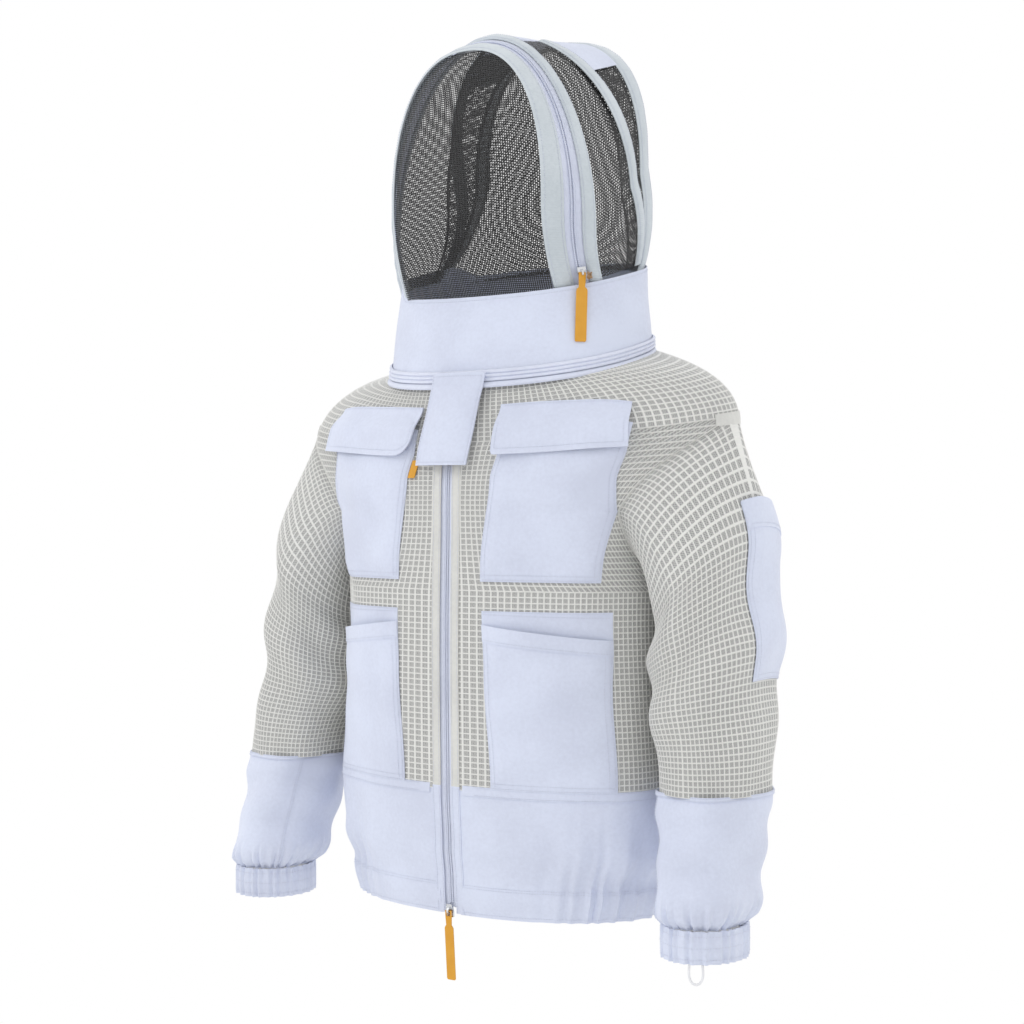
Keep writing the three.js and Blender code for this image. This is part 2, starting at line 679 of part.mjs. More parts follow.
function addCollar() {
  const surface = (s, t) => collarPoint(s * 2 * Math.PI, mix(COLLAR_LOW_SHARE, 1, t), COLLAR_OUTSET);
  const inside = (s, t) => vec(0, NECK.y, surface(s, t).z);
  addSkin('collar_band', surface, {
    columns: NECK_STEPS, rows: 3, low: -COTTON, high: 0, inside, paint: 'cotton', wrap: true,
  });
  const round = (name, section) => addSweep(name, neckFrames(), strip(...section), false, 'zip');
  round('neck_zip_lower_coil', LOWER_COIL);
  round('neck_zip_upper_coil', UPPER_COIL);
  round('neck_zip_upper_tape', UPPER_TAPE);
}

// ---- neck tab
const TAB = { half: 35, high: 671, low: 556, lift: 12, steps: 8, thick: 2 };
const TAB_ROOT_SHARE = 0.14;     // where the tab is sewn to the collar
const TAB_TURN = 60;             // it turns from the collar to the zip over this height
const TAB_OUT = 2.5;
const TAB_ZIP_TOP = 655;         // the highest place where the zip is under it
const TAB_PATCH = { half: 18, from: 5, to: 8, depth: [-2.4, -1.3] };

/** The tab hangs from the collar over the top of the front zip, with a hook patch near its end. */
function addNeckTab() {
  const top = collarPoint(0, TAB_ROOT_SHARE, COLLAR_OUTSET);
  const points = [];
  const { steps } = TAB;
  for (let i = 0; i <= steps; i += 1) {
    const height = mix(TAB.high, TAB.low, i / steps);
    const onBody = torsoPoint(0, rowAtHeight(Math.min(height, TAB_ZIP_TOP))).y - TAB.lift;
    const onCollar = mix(top.y, onBody, smooth((TAB.high - height) / TAB_TURN));
    points.push(vec(0, Math.min(onCollar, onBody) - TAB_OUT, up(height)));
  }
  const frames = points.map((at, i) => {
    const ahead = points[Math.min(i + 1, steps)].clone().sub(points[Math.max(i - 1, 0)]);
    return { at, out: vec(0, ahead.z, -ahead.y).normalize(), rise: vec(1, 0, 0) };
  });
  addSweep('neck_tab', frames, strip(-TAB.thick / 2, TAB.thick / 2, -TAB.half, TAB.half), false, 'cotton');
  const low = frames.slice(TAB_PATCH.from, TAB_PATCH.to);
  addSweep('tab_hook_patch', low, strip(...TAB_PATCH.depth, -TAB_PATCH.half, TAB_PATCH.half), false, 'hook');
}

// ---- hood surfaces
const HOOD_MIDDLE = 960;         // the hood's panels face away from a centre at this height
const CROWN_HALF = 0.13;

// Depths run from 0 at the face arch to 1 at the rear one
const FACE_STRIP = [-0.02, 0.13];
const ZIP_DEPTH = 0.19;
const COIL_NEAR = 0.003;         // each row of the veil zip's teeth lies between these distances of it
const COIL_FAR = 0.019;
const OUTER_STRIP = [0.25, MIDDLE_DEPTH];
const REAR_STRIP = [0.93, 1.04];
const PANEL_GAP = 0.008;
const SIDE_BAND = [[CROWN_HALF, 0.56], [0.28, 0.6], [0.42, 0.69], [0.59, 0.78], [0.78, 0.86], [1, 0.88]];
const SIDE_BAND_HALF = 0.035;
const BAND_HIGH = [2.6, 4];      // the side bands are sewn on over the net
const BINDING_HIGH = [0.3, 2.3];
const VEIL_COIL_HIGH = [0.2, 2.2];

// The nets
const NET_CLEAR = 3;             // above the collar's top
const NET_EDGE = 0.93;           // the share of the arch's width that its net fills
const NET_TOP = 0.12;
const NET_BULGE = 1.6;

// The hoops
const HOOP_RADIUS = 2;
const HOOP_STEPS = 28;
const HOOP_SIDES = 6;
const HOOP_END = 0.99;
const flat = (value) => () => value;

/** A point on one of the hood's three arches; t runs from -1 over the crown at 0 to 1 on the left. */
function archPoint(arch, t) {
  const share = Math.min(Math.abs(t), 1.05);
  const side = Math.sign(t);
  if (share <= ARC_SHARE) {
    const angle = (share / ARC_SHARE) * (Math.PI / 2);
    return vec(
      side * arch.width * bend(Math.sin(angle), arch.power),
      arch.y,
      up(mix(arch.side, arch.top, bend(Math.cos(angle), arch.power))),
    );
  }
  const fall = (share - ARC_SHARE) / (1 - ARC_SHARE);
  return vec(
    side * mix(arch.width, arch.lowWidth, fall),
    mix(arch.y, arch.lowY, fall ** 2),
    up(mix(arch.side, arch.low, fall)),
  );
}

/** The hood: a cone from the face arch (depth 0) to the middle one, then a tunnel to the rear (depth 1). */
function tunnelPoint(t, depth) {
  const middle = archPoint(MIDDLE_ARCH, t);
  if (depth < MIDDLE_DEPTH) return archPoint(FACE_ARCH, t).lerp(middle, depth / MIDDLE_DEPTH);
  return middle.lerp(archPoint(REAR_ARCH, t), (depth - MIDDLE_DEPTH) / (1 - MIDDLE_DEPTH));
}
const hoodAxis = (p) => vec(0, p.y, Math.min(p.z, up(HOOD_MIDDLE)));

/** A panel of the tunnel: t across, depth given by two functions of t. */
function addTunnelPanel(name, [from, to], depths, options) {
  const surface = (s, d) => {
    const t = mix(from, to, s);
    return tunnelPoint(t, mix(depths[0](t), depths[1](t), d));
  };
  addSkin(name, surface, { inside: (s, d) => hoodAxis(surface(s, d)), ...options });
}

/** A net that closes an arch and meets the collar's top ring; side -1 is the face, 1 the back. */
function archNetPoint(arch, side, across, level) {
  const edge = archPoint(arch, level);
  const base = vec(edge.x * across, edge.y, edge.z);
  const foot = archPoint(arch, 1);
  const x = foot.x * across;
  const { width, depth, y, height, slope } = COLLAR_TOP;
  const ringY = y + side * depth * clamp01(1 - (Math.abs(x) / width) ** TORSO_POWER) ** (1 / TORSO_POWER);
  const ringZ = up(height + slope * (ringY - y) + NET_CLEAR);
  const bulge = clamp01((level - NET_TOP) / (1 - NET_TOP)) ** NET_BULGE;
  return base.add(vec(0, (ringY - foot.y) * bulge, (ringZ - foot.z) * bulge ** 3));
}

const netInside = () => vec(0, COLLAR_TOP.y + 2, up(HOOD_MIDDLE));

/** A flexible hoop: a rod carried round the tunnel inside a strip. */
function addHoop(name, depth, inset) {
  const frames = [];
  for (let i = 0; i <= HOOP_STEPS; i += 1) {
    const t = mix(-HOOP_END, HOOP_END, i / HOOP_STEPS);
    const out = normalOf(tunnelPoint, t, depth, (s, d) => hoodAxis(tunnelPoint(s, d)));
    const at = tunnelPoint(t, depth).addScaledVector(out, -inset);
    const ahead = tunnelPoint(t + 0.01, depth).sub(tunnelPoint(t - 0.01, depth)).normalize();
    frames.push({ at, out, rise: ahead.cross(out).normalize() });
  }
  addSweep(name, frames, circle(0, 0, HOOP_RADIUS, HOOP_SIDES), false, 'boning');
}

function addHood() {
  const strips = { columns: 28, rows: 1 };
  addTunnelPanel('outer_arch_binding', [-1, 1], [flat(OUTER_STRIP[0]), flat(OUTER_STRIP[1])], {
    ...strips, low: BINDING_HIGH[0], high: BINDING_HIGH[1], paint: 'binding',
  });
  const teeth = [flat(ZIP_DEPTH + COIL_NEAR), flat(ZIP_DEPTH + COIL_FAR)];
  addTunnelPanel('veil_zip_outer_coil', [-0.995, 0.995], teeth, {
    ...strips, low: VEIL_COIL_HIGH[0], high: VEIL_COIL_HIGH[1], paint: 'zip',
  });
  addHoop('outer_arch_hoop', 0.3, 3);
  const between = [flat(OUTER_STRIP[1] + PANEL_GAP), flat(REAR_STRIP[0] - PANEL_GAP)];
  addTunnelPanel('crown_panel', [-CROWN_HALF, CROWN_HALF], between, {
    columns: 8, rows: 4, low: 0, high: COTTON, paint: 'cotton',
  });
  for (const [side, sign] of SIDES) {
    const reach = [sign * (CROWN_HALF + PANEL_GAP), sign];
    addTunnelPanel(`side_veil_${side}`, reach, between, {
      columns: 12, rows: 4, low: -0.2, high: NET, paint: 'net',
    });
    const band = (offset) => (t) => along(SIDE_BAND, Math.abs(t)) + offset;
    addTunnelPanel(`side_band_${side}`, reach, [band(-SIDE_BAND_HALF), band(SIDE_BAND_HALF)], {
      columns: 12, rows: 1, low: BAND_HIGH[0], high: BAND_HIGH[1], paint: 'binding',
    });
  }
  addTunnelPanel('rear_band', [-1, 1], [flat(REAR_STRIP[0]), flat(REAR_STRIP[1])], {
    ...strips, low: 0, high: 2, paint: 'binding',
  });
  const back = (s, t) => archNetPoint(REAR_ARCH, 1, mix(-NET_EDGE, NET_EDGE, s), mix(1, NET_TOP, t));
  addSkin('back_veil', back, {
    columns: 10, rows: 7, low: 0, high: NET, inside: netInside, paint: 'net',
  });
}

function addFaceVeil() {
  const strips = { columns: 28, rows: 1 };
  addTunnelPanel('face_binding', [-0.985, 0.985], [flat(FACE_STRIP[0]), flat(FACE_STRIP[1])], {
    ...strips, low: BINDING_HIGH[0], high: BINDING_HIGH[1], paint: 'binding',
  });
  const teeth = [flat(ZIP_DEPTH - COIL_FAR), flat(ZIP_DEPTH - COIL_NEAR)];
  addTunnelPanel('veil_zip_inner_coil', [-0.98, 0.98], teeth, {
    ...strips, low: VEIL_COIL_HIGH[0], high: VEIL_COIL_HIGH[1], paint: 'zip',
  });
  addHoop('face_hoop', 0.06, 3.4);
  const face = (s, t) => archNetPoint(FACE_ARCH, -1, mix(-NET_EDGE, NET_EDGE, s), mix(1, NET_TOP, t));
  addSkin('face_mesh', face, {
    columns: 10, rows: 7, low: 0, high: NET, inside: netInside, paint: 'net',
  });
}

// ---- sliders and pulls
// In a slider's own frame: X across the zip, Z along it, -Y out of the cloth, with the coil's face at Y = 0.
const SLIDER = { half: 5.5, narrow: 4, long: 8, thick: 3, lug: 1.4, reach: 7.4, hole: 1.7, pivot: 5 };
const PULL = {
  half: 6.5, thick: 1.2, bar: 0.7, slotLow: -6.8, slotHalf: 3, neck: -20, neckHalf: 4, low: -88,
};
const SHORT_PULL = { ...PULL, neck: -10, low: -18 };   // the upper slider's, hidden under the neck tab

/** A zip slider: a tapered body with a loop on it that carries the pull. */
function sliderSolid() {
  const { half, narrow, long, thick, lug, reach, hole, pivot } = SLIDER;
  const outline = [[-narrow, -long], [narrow, -long], [half, 2], [half, long], [-half, long], [-half, 2]];
  const body = plate(outline, [], thick);
  body.rotateX(Math.PI / 2).translate(0, -thick / 2, 0);
  const foot = 0.5 - thick;
  const side = [[foot, -5.5], [foot, 5.5], [-pivot, 4], [-reach, 1.5], [-reach, -1.5], [-pivot, -4]];
  const loop = plate(side, [circle(-pivot, 0, hole)], 2 * lug);
  const turn = new THREE.Matrix4().makeBasis(vec(0, 1, 0), vec(0, 0, 1), vec(1, 0, 0));
  loop.applyMatrix4(turn);
  return toSolid(body).add(toSolid(loop));
}

/** A pull that hangs from the slider's loop by the bar over its slot. */
function pullSolid({ half, thick, bar, slotLow, slotHalf, neck, neckHalf, low }) {
  const top = neckHalf + 0.6;
  const outline = [
    [-half + 1.5, low], [half - 1.5, low], [half, low + 1.5], [half, neck - 2], [half - 1, neck],
    [neckHalf, neck + 2], [top, slotLow - 1], [top, bar], [-top, bar], [-top, slotLow - 1],
    [-neckHalf, neck + 2], [-half + 1, neck], [-half, neck - 2], [-half, low + 1.5],
  ];
  const slot = [[-slotHalf, slotLow], [-slotHalf, -bar], [slotHalf, -bar], [slotHalf, slotLow]];
  const body = plate(outline, [slot], thick).rotateX(Math.PI / 2);
  return toSolid(body.translate(0, -SLIDER.pivot, 0));
}

/** Puts a slider and its pull at a point: `out` faces out of the cloth and `rise` runs along the zip. */
function addSlider(name, pull, at, out, rise, { turnedOver = false, tilt = 0 } = {}) {
  const flip = turnedOver ? -1 : 1;
  const across = rise.clone().cross(out).normalize().multiplyScalar(-flip);
  const inward = out.clone().negate();
  const slider = new THREE.Matrix4().makeBasis(across, inward, rise.clone().multiplyScalar(flip));
  addJoined(`${name}_slider`, sliderSolid(), slider.setPosition(at), 'metal');
  const hang = new THREE.Matrix4().makeBasis(across.multiplyScalar(flip), inward, rise);
  const swing = new THREE.Matrix4().makeTranslation(0, -SLIDER.pivot, 0)
    .multiply(new THREE.Matrix4().makeRotationX(-tilt))
    .multiply(new THREE.Matrix4().makeTranslation(0, SLIDER.pivot, 0));
  addJoined(`${name}_pull`, pullSolid(pull), hang.setPosition(at).multiply(swing), 'gold');
}

// Each slider's place, and the height that its straight track aims for
const UPPER_SLIDER_HEIGHT = 575;
const UPPER_TRACK_END = 290;
const LOWER_SLIDER_HEIGHT = -1;
const LOWER_TRACK_END = 150;
const SLIDER_CLEARANCE = 3.2;
const VEIL_SLIDER_T = 0.965;
const VEIL_TRACK_T = 0.2;        // the veil slider's track is a chord of this length of the arch
const VEIL_CLEARANCE = 5.5;
const VEIL_PULL_TILT = 0.32;     // the veil's pull rests against the collar's slope, in radians

/** The straight track of a slider between two heights of the centre front. */
function frontTrack(from, to) {
  const start = torsoPoint(0, Math.max(rowAtHeight(from), 0));
  const end = torsoPoint(0, rowAtHeight(to));
  return { start, rise: end.sub(start).normalize() };
}

function addSliders() {
  const upper = frontTrack(UPPER_SLIDER_HEIGHT, UPPER_TRACK_END);
  upper.rise.negate();
  const lower = frontTrack(LOWER_SLIDER_HEIGHT, LOWER_TRACK_END);
  lower.start.z = up(LOWER_SLIDER_HEIGHT);
  const tracks = [['front_upper', upper, SHORT_PULL, false], ['front_lower', lower, PULL, true]];
  for (const [name, track, pull, turnedOver] of tracks) {
    const out = vec(0, -track.rise.z, track.rise.y);
    const at = track.start.addScaledVector(out, SLIDER_CLEARANCE);
    addSlider(name, pull, at, out, track.rise, { turnedOver });
  }
  const at = tunnelPoint(VEIL_SLIDER_T, ZIP_DEPTH);
  const rise = tunnelPoint(VEIL_SLIDER_T - VEIL_TRACK_T, ZIP_DEPTH).sub(at).normalize();
  const normal = normalOf(tunnelPoint, VEIL_SLIDER_T, ZIP_DEPTH, (s, d) => hoodAxis(tunnelPoint(s, d)));
  const out = normal.addScaledVector(rise, -normal.dot(rise)).normalize();
  addSlider('veil', PULL, at.addScaledVector(out, VEIL_CLEARANCE), out, rise, { tilt: VEIL_PULL_TILT });
}

// ---- thumb loop
// Its route hangs from the front of the left cuff: [across, below the cuff] in order.
const LOOP_ROUTE = [
  [-7.5, 0.4], [-7.9, 4], [-8.2, 8], [-8.2, 12], [-7.7, 16], [-6.4, 19.6], [-4.3, 22.4], [-1.6, 24],
  [1.4, 24.1], [4.2, 22.7], [6.4, 20], [7.8, 16.4], [8.4, 12.2], [8.3, 8], [7.9, 4], [7.4, 0.4],
];
const LOOP_RADIUS = 1.5;
const LOOP_TURN = 0.195;
const LOOP_INSET = 4;

function addThumbLoop() {
  const angle = LOOP_TURN * 2 * Math.PI;
  const root = vec(
    CUFF.x + (CUFF.wide - LOOP_INSET) * Math.cos(angle),
    CUFF.y - (CUFF.deep - LOOP_INSET) * Math.sin(angle),
    up(CUFF_LOW),
  );
  const across = vec(Math.sin(angle) * CUFF.wide, Math.cos(angle) * CUFF.deep, 0).normalize();
  const route = LOOP_ROUTE.map(
    ([x, below]) => root.clone().addScaledVector(across, x).add(vec(0, 0, -below)),
  );
  const out = vec(across.y, -across.x, 0);
  const frames = route.map((at, i) => {
    const next = route[Math.min(i + 1, route.length - 1)];
    const ahead = next.clone().sub(route[Math.max(i - 1, 0)]).normalize();
    return { at, out, rise: ahead.cross(out).normalize() };
  });
  addSweep('thumb_loop', frames, circle(0, 0, LOOP_RADIUS), false, 'elastic');
}

addBodyPanels();
addHem();
addFrontZip();
addSleeves();
addSleevePocket();
addPockets();
addFlaps();
addCollar();
addNeckTab();
addHood();
addFaceVeil();
addSliders();
addThumbLoop();

export default group;
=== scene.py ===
"""Beekeeping jacket with a zip-on hood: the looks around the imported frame. Metres, +Z up, front faces -Y."""

import math
from functools import partial

import bmesh
import bpy
import numpy as np
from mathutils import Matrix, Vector


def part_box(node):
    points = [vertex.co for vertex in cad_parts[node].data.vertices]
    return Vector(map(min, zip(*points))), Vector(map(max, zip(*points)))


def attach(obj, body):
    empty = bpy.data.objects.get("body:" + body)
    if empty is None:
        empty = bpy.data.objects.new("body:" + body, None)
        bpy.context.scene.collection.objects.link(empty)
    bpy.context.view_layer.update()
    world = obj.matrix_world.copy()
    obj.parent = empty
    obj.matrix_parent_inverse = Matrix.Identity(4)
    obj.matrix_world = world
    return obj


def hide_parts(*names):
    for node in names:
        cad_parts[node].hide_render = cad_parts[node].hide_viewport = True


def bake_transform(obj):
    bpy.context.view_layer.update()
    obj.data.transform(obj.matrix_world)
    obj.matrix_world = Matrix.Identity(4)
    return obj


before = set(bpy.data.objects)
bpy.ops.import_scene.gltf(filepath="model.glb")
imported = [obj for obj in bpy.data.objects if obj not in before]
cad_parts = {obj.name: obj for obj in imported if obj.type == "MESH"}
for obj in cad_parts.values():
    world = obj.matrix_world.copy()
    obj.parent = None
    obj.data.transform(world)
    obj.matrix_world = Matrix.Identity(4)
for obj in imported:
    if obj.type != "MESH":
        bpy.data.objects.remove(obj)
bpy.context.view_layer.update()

# ---- driving dimensions, the same as the frame's
NECK_HEIGHT = 0.690              # the origin's height above the hem
TORSO_Y = 0.020
TORSO_POWER = 2.3
WIDTH_KEYS = [(-0.006, 0.212), (0.036, 0.220), (0.080, 0.236), (0.150, 0.240), (0.376, 0.232), (0.500, 0.240)]
DEPTH_KEYS = [(-0.006, 0.129), (0.036, 0.132), (0.080, 0.137), (0.150, 0.141), (0.376, 0.143), (0.500, 0.141)]
HEM_LOW = -0.006
HEM_HIGH = 0.034
WAIST_SEAM = 0.152
YOKE_START = 0.500
YOKE_LENGTH = 0.200
NECK = {"y": 0.030, "width": 0.182, "depth": 0.133, "height": 0.690, "slope": 0.25,
        "right": 0.885, "left": 1.0, "bump": 0.0}
COLLAR_TOP = {"y": 0.038, "width": 0.166, "depth": 0.110, "height": 0.800, "slope": 0.27,
              "right": 0.95, "left": 1.055, "bump": 0.018}
ARMPIT = 0.400
SHOULDER_TIP = 0.600
ARMHOLE_SPREAD = 0.54
FOREARM_SEAM = 0.165
CUFF_HIGH = 0.016
CUFF_LOW = -0.022
CUFF = {"x": 0.333, "y": -0.062, "wide": 0.047, "deep": 0.055}
ARM_X = [(0, 0.288), (0.3, 0.300), (0.6, 0.304), (1, 0.322)]
ARM_Y = [(0, 0.028), (0.3, 0.026), (0.6, 0.016), (1, -0.011)]
ARM_WIDE = [(0, 0.042), (0.3, 0.058), (0.6, 0.066), (1, 0.061)]
ARM_DEEP = [(0, 0.098), (0.3, 0.103), (0.6, 0.099), (1, 0.080)]
ARM_TOP = 0.512
ARM_TILT = 0.104
SLEEVE_POWER = 2.2
FACE_ARCH = {"width": 0.116, "side": 0.886, "top": 1.081, "low": 0.782, "power": 2.3,
             "y": -0.077, "low_y": -0.048, "low_width": 0.115}
MIDDLE_ARCH = {"width": 0.156, "side": 0.850, "top": 1.110, "low": 0.791, "power": 1.92,
               "y": -0.020, "low_y": -0.006, "low_width": 0.156}
REAR_ARCH = {"width": 0.129, "side": 0.950, "top": 1.128, "low": 0.818, "power": 2.6,
             "y": 0.146, "low_y": 0.092, "low_width": 0.158}
MIDDLE_DEPTH = 0.34
ARC_SHARE = 0.72
ZIP_HALF = 0.015
ZIP_LOW = 0.002
ZIP_HIGH = 0.646
LATTICE = 0.0095                 # the ventilated cloth's squares
SIDES = (("left", 1), ("right", -1))
HALF_TURN = math.pi
TURN = 2 * HALF_TURN

# ---- camera, at the viewing angle that shows the wearer's left front
VIEW_TURN = math.radians(34.5)
VIEW_RISE = math.radians(0.4)
VIEW_DISTANCE = 2.5
VIEW_HEIGHT = 0.497              # above the hem
VIEW_LENS = 67.6
VIEW_SHIFT = 0.0103


def up(height):
    return height - NECK_HEIGHT


def add_camera():
    data = bpy.data.cameras.new("camera")
    data.lens = VIEW_LENS
    data.shift_x = VIEW_SHIFT
    camera = bpy.data.objects.new("camera", data)
    bpy.context.collection.objects.link(camera)
    target = Vector((0, 0, up(VIEW_HEIGHT)))
    ahead = Vector((-math.sin(VIEW_TURN), math.cos(VIEW_TURN), 0)) * math.cos(VIEW_RISE)
    ahead.z = -math.sin(VIEW_RISE)
    camera.location = target - ahead * VIEW_DISTANCE
    camera.rotation_euler = ahead.to_track_quat("-Z", "Y").to_euler()
    bpy.context.scene.camera = camera


# ---- node and material helpers
def add_node(tree, kind, values=None, **settings):
    """A shader node; `values` maps socket names or numbers to values or to other sockets."""
    node = tree.nodes.new(kind)
    for name, value in settings.items():
        setattr(node, name, value)
    for key, value in (values or {}).items():
        if isinstance(value, bpy.types.NodeSocket):
            tree.links.new(value, node.inputs[key])
        else:
            node.inputs[key].default_value = value
    return node


def calc(tree, operation, *values):
    node = add_node(tree, "ShaderNodeMath", dict(enumerate(values)), operation=operation)
    return node.outputs[0]


def ramp(tree, value, low, high, to_low=0.0, to_high=1.0):
    node = add_node(tree, "ShaderNodeMapRange", {
        "Value": value, "From Min": low, "From Max": high, "To Min": to_low, "To Max": to_high,
    }, interpolation_type="SMOOTHSTEP")
    return node.outputs[0]


def blend_colour(tree, factor, low, high):
    node = add_node(tree, "ShaderNodeMix", {0: factor, 6: low, 7: high}, data_type="RGBA")
    return node.outputs[2]


def place(tree, uv):
    node = add_node(tree, "ShaderNodeTexCoord")
    return node.outputs["UV" if uv else "Object"]


def noise(tree, where, scale):
    values = {"Vector": where, "Scale": scale, "Detail": 3.0}
    return add_node(tree, "ShaderNodeTexNoise", values).outputs["Fac"]


def start_material(name):
    material = bpy.data.materials.new(name)
    material.use_nodes = True
    return material, material.node_tree, material.node_tree.nodes["Principled BSDF"]


def set_bump(tree, shader, height, distance, strength=1.0):
    bump = add_node(tree, "ShaderNodeBump", {"Height": height, "Distance": distance, "Strength": strength})
    tree.links.new(bump.outputs[0], shader.inputs["Normal"])


def three_waves(tree, where, pitch):
    """A hexagonal field of dots `pitch` apart: three waves a third of a turn from each other."""
    total = None
    for k in range(3):
        turn = k * HALF_TURN / 3
        reach = TURN / (pitch * math.sqrt(3) / 2)
        along = (math.cos(turn) * reach, math.sin(turn) * reach, 0)
        dot = add_node(tree, "ShaderNodeVectorMath", {0: where, 1: along}, operation="DOT_PRODUCT")
        wave = calc(tree, "COSINE", dot.outputs["Value"])
        total = wave if total is None else calc(tree, "ADD", total, wave)
    return total


def split(tree, where):
    return add_node(tree, "ShaderNodeSeparateXYZ", {0: where}).outputs


def ventilated_mesh():
    """Three-layer cloth: a square lattice of strands over a fine six-sided net, with painted shade in the
    squares. UVs count lattice squares.
    """
    material, tree, shader = start_material("ventilated_mesh")
    uv = place(tree, True)
    across = split(tree, uv)
    near = calc(tree, "MINIMUM", *(calc(tree, "PINGPONG", across[k], 0.5) for k in (0, 1)))
    strand = ramp(tree, near, 0.17, 0.09)
    net = ramp(tree, three_waves(tree, uv, 0.25), -0.6, 1.4)
    grain = noise(tree, uv, 6)
    # painted shade: the squares between the strands are dark grey, darkest at the fine net's holes, standing
    # in for the shadowed inside seen through the cloth
    shaded_hole = blend_colour(tree, net, (0.54, 0.54, 0.53, 1), (0.18, 0.18, 0.176, 1))
    yarn = blend_colour(tree, grain, (0.71, 0.71, 0.69, 1), (0.85, 0.85, 0.82, 1))
    tree.links.new(blend_colour(tree, strand, shaded_hole, yarn), shader.inputs["Base Color"])
    weave = calc(tree, "ADD", calc(tree, "MULTIPLY", strand, 1.0), calc(tree, "MULTIPLY", net, -0.35))
    set_bump(tree, shader, calc(tree, "ADD", weave, calc(tree, "MULTIPLY", grain, 0.2)), 0.0006)
    shader.inputs["Roughness"].default_value = 0.85
    shader.inputs["Sheen Weight"].default_value = 0.2
    return material


def woven(name, low, high, thread=0.0009, bump=0.00012, roughness=0.8, sheen=0.3, ribs=False):
    """Plain woven cloth: crossing threads, slubs and a soft change of tone."""
    material, tree, shader = start_material(name)
    where = place(tree, False)
    reach = TURN / thread
    axes = split(tree, where)
    warp = calc(tree, "SINE", calc(tree, "MULTIPLY", calc(tree, "ADD", axes[0], axes[1]), reach))
    weft = calc(tree, "SINE", calc(tree, "MULTIPLY", axes[2], reach * (0.4 if ribs else 1)))
    cross = calc(tree, "ADD", weft, calc(tree, "MULTIPLY", warp, 0.2 if ribs else 1))
    slub = noise(tree, where, 220)
    tone = noise(tree, where, 9)
    mixed = calc(tree, "ADD", calc(tree, "MULTIPLY", tone, 0.7), calc(tree, "MULTIPLY", slub, 0.3))
    tree.links.new(blend_colour(tree, ramp(tree, mixed, 0.3, 0.7), low, high), shader.inputs["Base Color"])
    set_bump(tree, shader, calc(tree, "ADD", cross, calc(tree, "MULTIPLY", slub, 1.5)), bump, 0.6)
    shader.inputs["Roughness"].default_value = roughness
    shader.inputs["Sheen Weight"].default_value = sheen
    return material


def netting(name, pitch, cover, square):
    """See-through black net. Its UV is in metres."""
    material, tree, shader = start_material(name)
    uv = place(tree, True)
    if square:
        axes = split(tree, uv)
        cells = [calc(tree, "PINGPONG", calc(tree, "DIVIDE", axes[k], pitch), 0.5) for k in (0, 1)]
        thread = ramp(tree, calc(tree, "MINIMUM", *cells), cover + 0.04, cover - 0.04)
    else:
        thread = ramp(tree, three_waves(tree, uv, pitch), cover + 0.3, cover - 0.3)
    tone = noise(tree, uv, 30)
    tree.links.new(blend_colour(tree, tone, (0.006, 0.006, 0.007, 1), (0.02, 0.02, 0.022, 1)),
                   shader.inputs["Base Color"])
    shader.inputs["Roughness"].default_value = 0.55
    clear = add_node(tree, "ShaderNodeBsdfTransparent")
    both = add_node(tree, "ShaderNodeMixShader", {0: thread, 1: clear.outputs[0], 2: shader.outputs[0]})
    tree.links.new(both.outputs[0], tree.nodes["Material Output"].inputs["Surface"])
    return material


def smooth_stuff(name, low, high, roughness, metallic=0.0):
    """Metal, plastic or moulded rubber with fine grain and a worn change of gloss."""
    material, tree, shader = start_material(name)
    where = place(tree, False)
    tone = noise(tree, where, 60)
    fine = noise(tree, where, 400)
    tree.links.new(blend_colour(tree, tone, low, high), shader.inputs["Base Color"])
    tree.links.new(ramp(tree, fine, 0.2, 0.8, roughness * 0.8, roughness * 1.2), shader.inputs["Roughness"])
    set_bump(tree, shader, fine, 0.00006, 0.5)
    shader.inputs["Metallic"].default_value = metallic
    return material


MATERIALS = {
    "ventilated_mesh": ventilated_mesh(),
    "white_cotton": woven("white_cotton", (0.62, 0.66, 0.80, 1), (0.71, 0.76, 0.91, 1)),
    "mesh_fold": woven("mesh_fold", (0.60, 0.60, 0.58, 1), (0.72, 0.72, 0.69, 1), thread=0.0012),
    "binding": woven("binding", (0.50, 0.55, 0.59, 1), (0.60, 0.65, 0.69, 1), thread=0.0012, ribs=True),
    "face_net": netting("face_net", 0.0025, 0.19, True),
    "black_net": netting("black_net", 0.0040, 0.2, False),
    "net_strip": netting("net_strip", 0.0046, 0.1, False),
    "black_tape": woven("black_tape", (0.008, 0.008, 0.009, 1), (0.022, 0.022, 0.024, 1), sheen=0.0),
    "white_zip": woven("white_zip", (0.65, 0.69, 0.83, 1), (0.76, 0.80, 0.94, 1), 0.0008, roughness=0.5),
    "slider_metal": smooth_stuff("slider_metal", (0.55, 0.56, 0.58, 1), (0.75, 0.76, 0.78, 1), 0.3, 1.0),
    "gold_pull": smooth_stuff("gold_pull", (0.60, 0.27, 0.012, 1), (0.72, 0.36, 0.025, 1), 0.42),
    "knot_cord": woven("knot_cord", (0.30, 0.17, 0.08, 1), (0.48, 0.30, 0.15, 1), thread=0.0011, bump=0.0003),
    "elastic": woven("elastic", (0.74, 0.75, 0.78, 1), (0.88, 0.88, 0.90, 1), thread=0.0007, ribs=True),
    "boning": smooth_stuff("boning", (0.45, 0.47, 0.50, 1), (0.55, 0.57, 0.60, 1), 0.45),
    "hook_tape": woven("hook_tape", (0.66, 0.66, 0.70, 1), (0.84, 0.84, 0.88, 1), thread=0.0014, bump=0.0005),
    "thread": woven("thread", (0.55, 0.58, 0.70, 1), (0.66, 0.69, 0.81, 1), thread=0.0006),
}


# ---- number helpers; every surface below takes arrays
def eased(keys, at):
    """Values read from (position, value) keys, eased between them."""
    places = np.array([key[0] for key in keys], float)
    values = np.array([key[1] for key in keys], float)
    at = np.asarray(at, float)
    i = np.clip(np.searchsorted(places, at) - 1, 0, len(places) - 2)
    share = smooth((at - places[i]) / (places[i + 1] - places[i]))
    return values[i] + (values[i + 1] - values[i]) * share


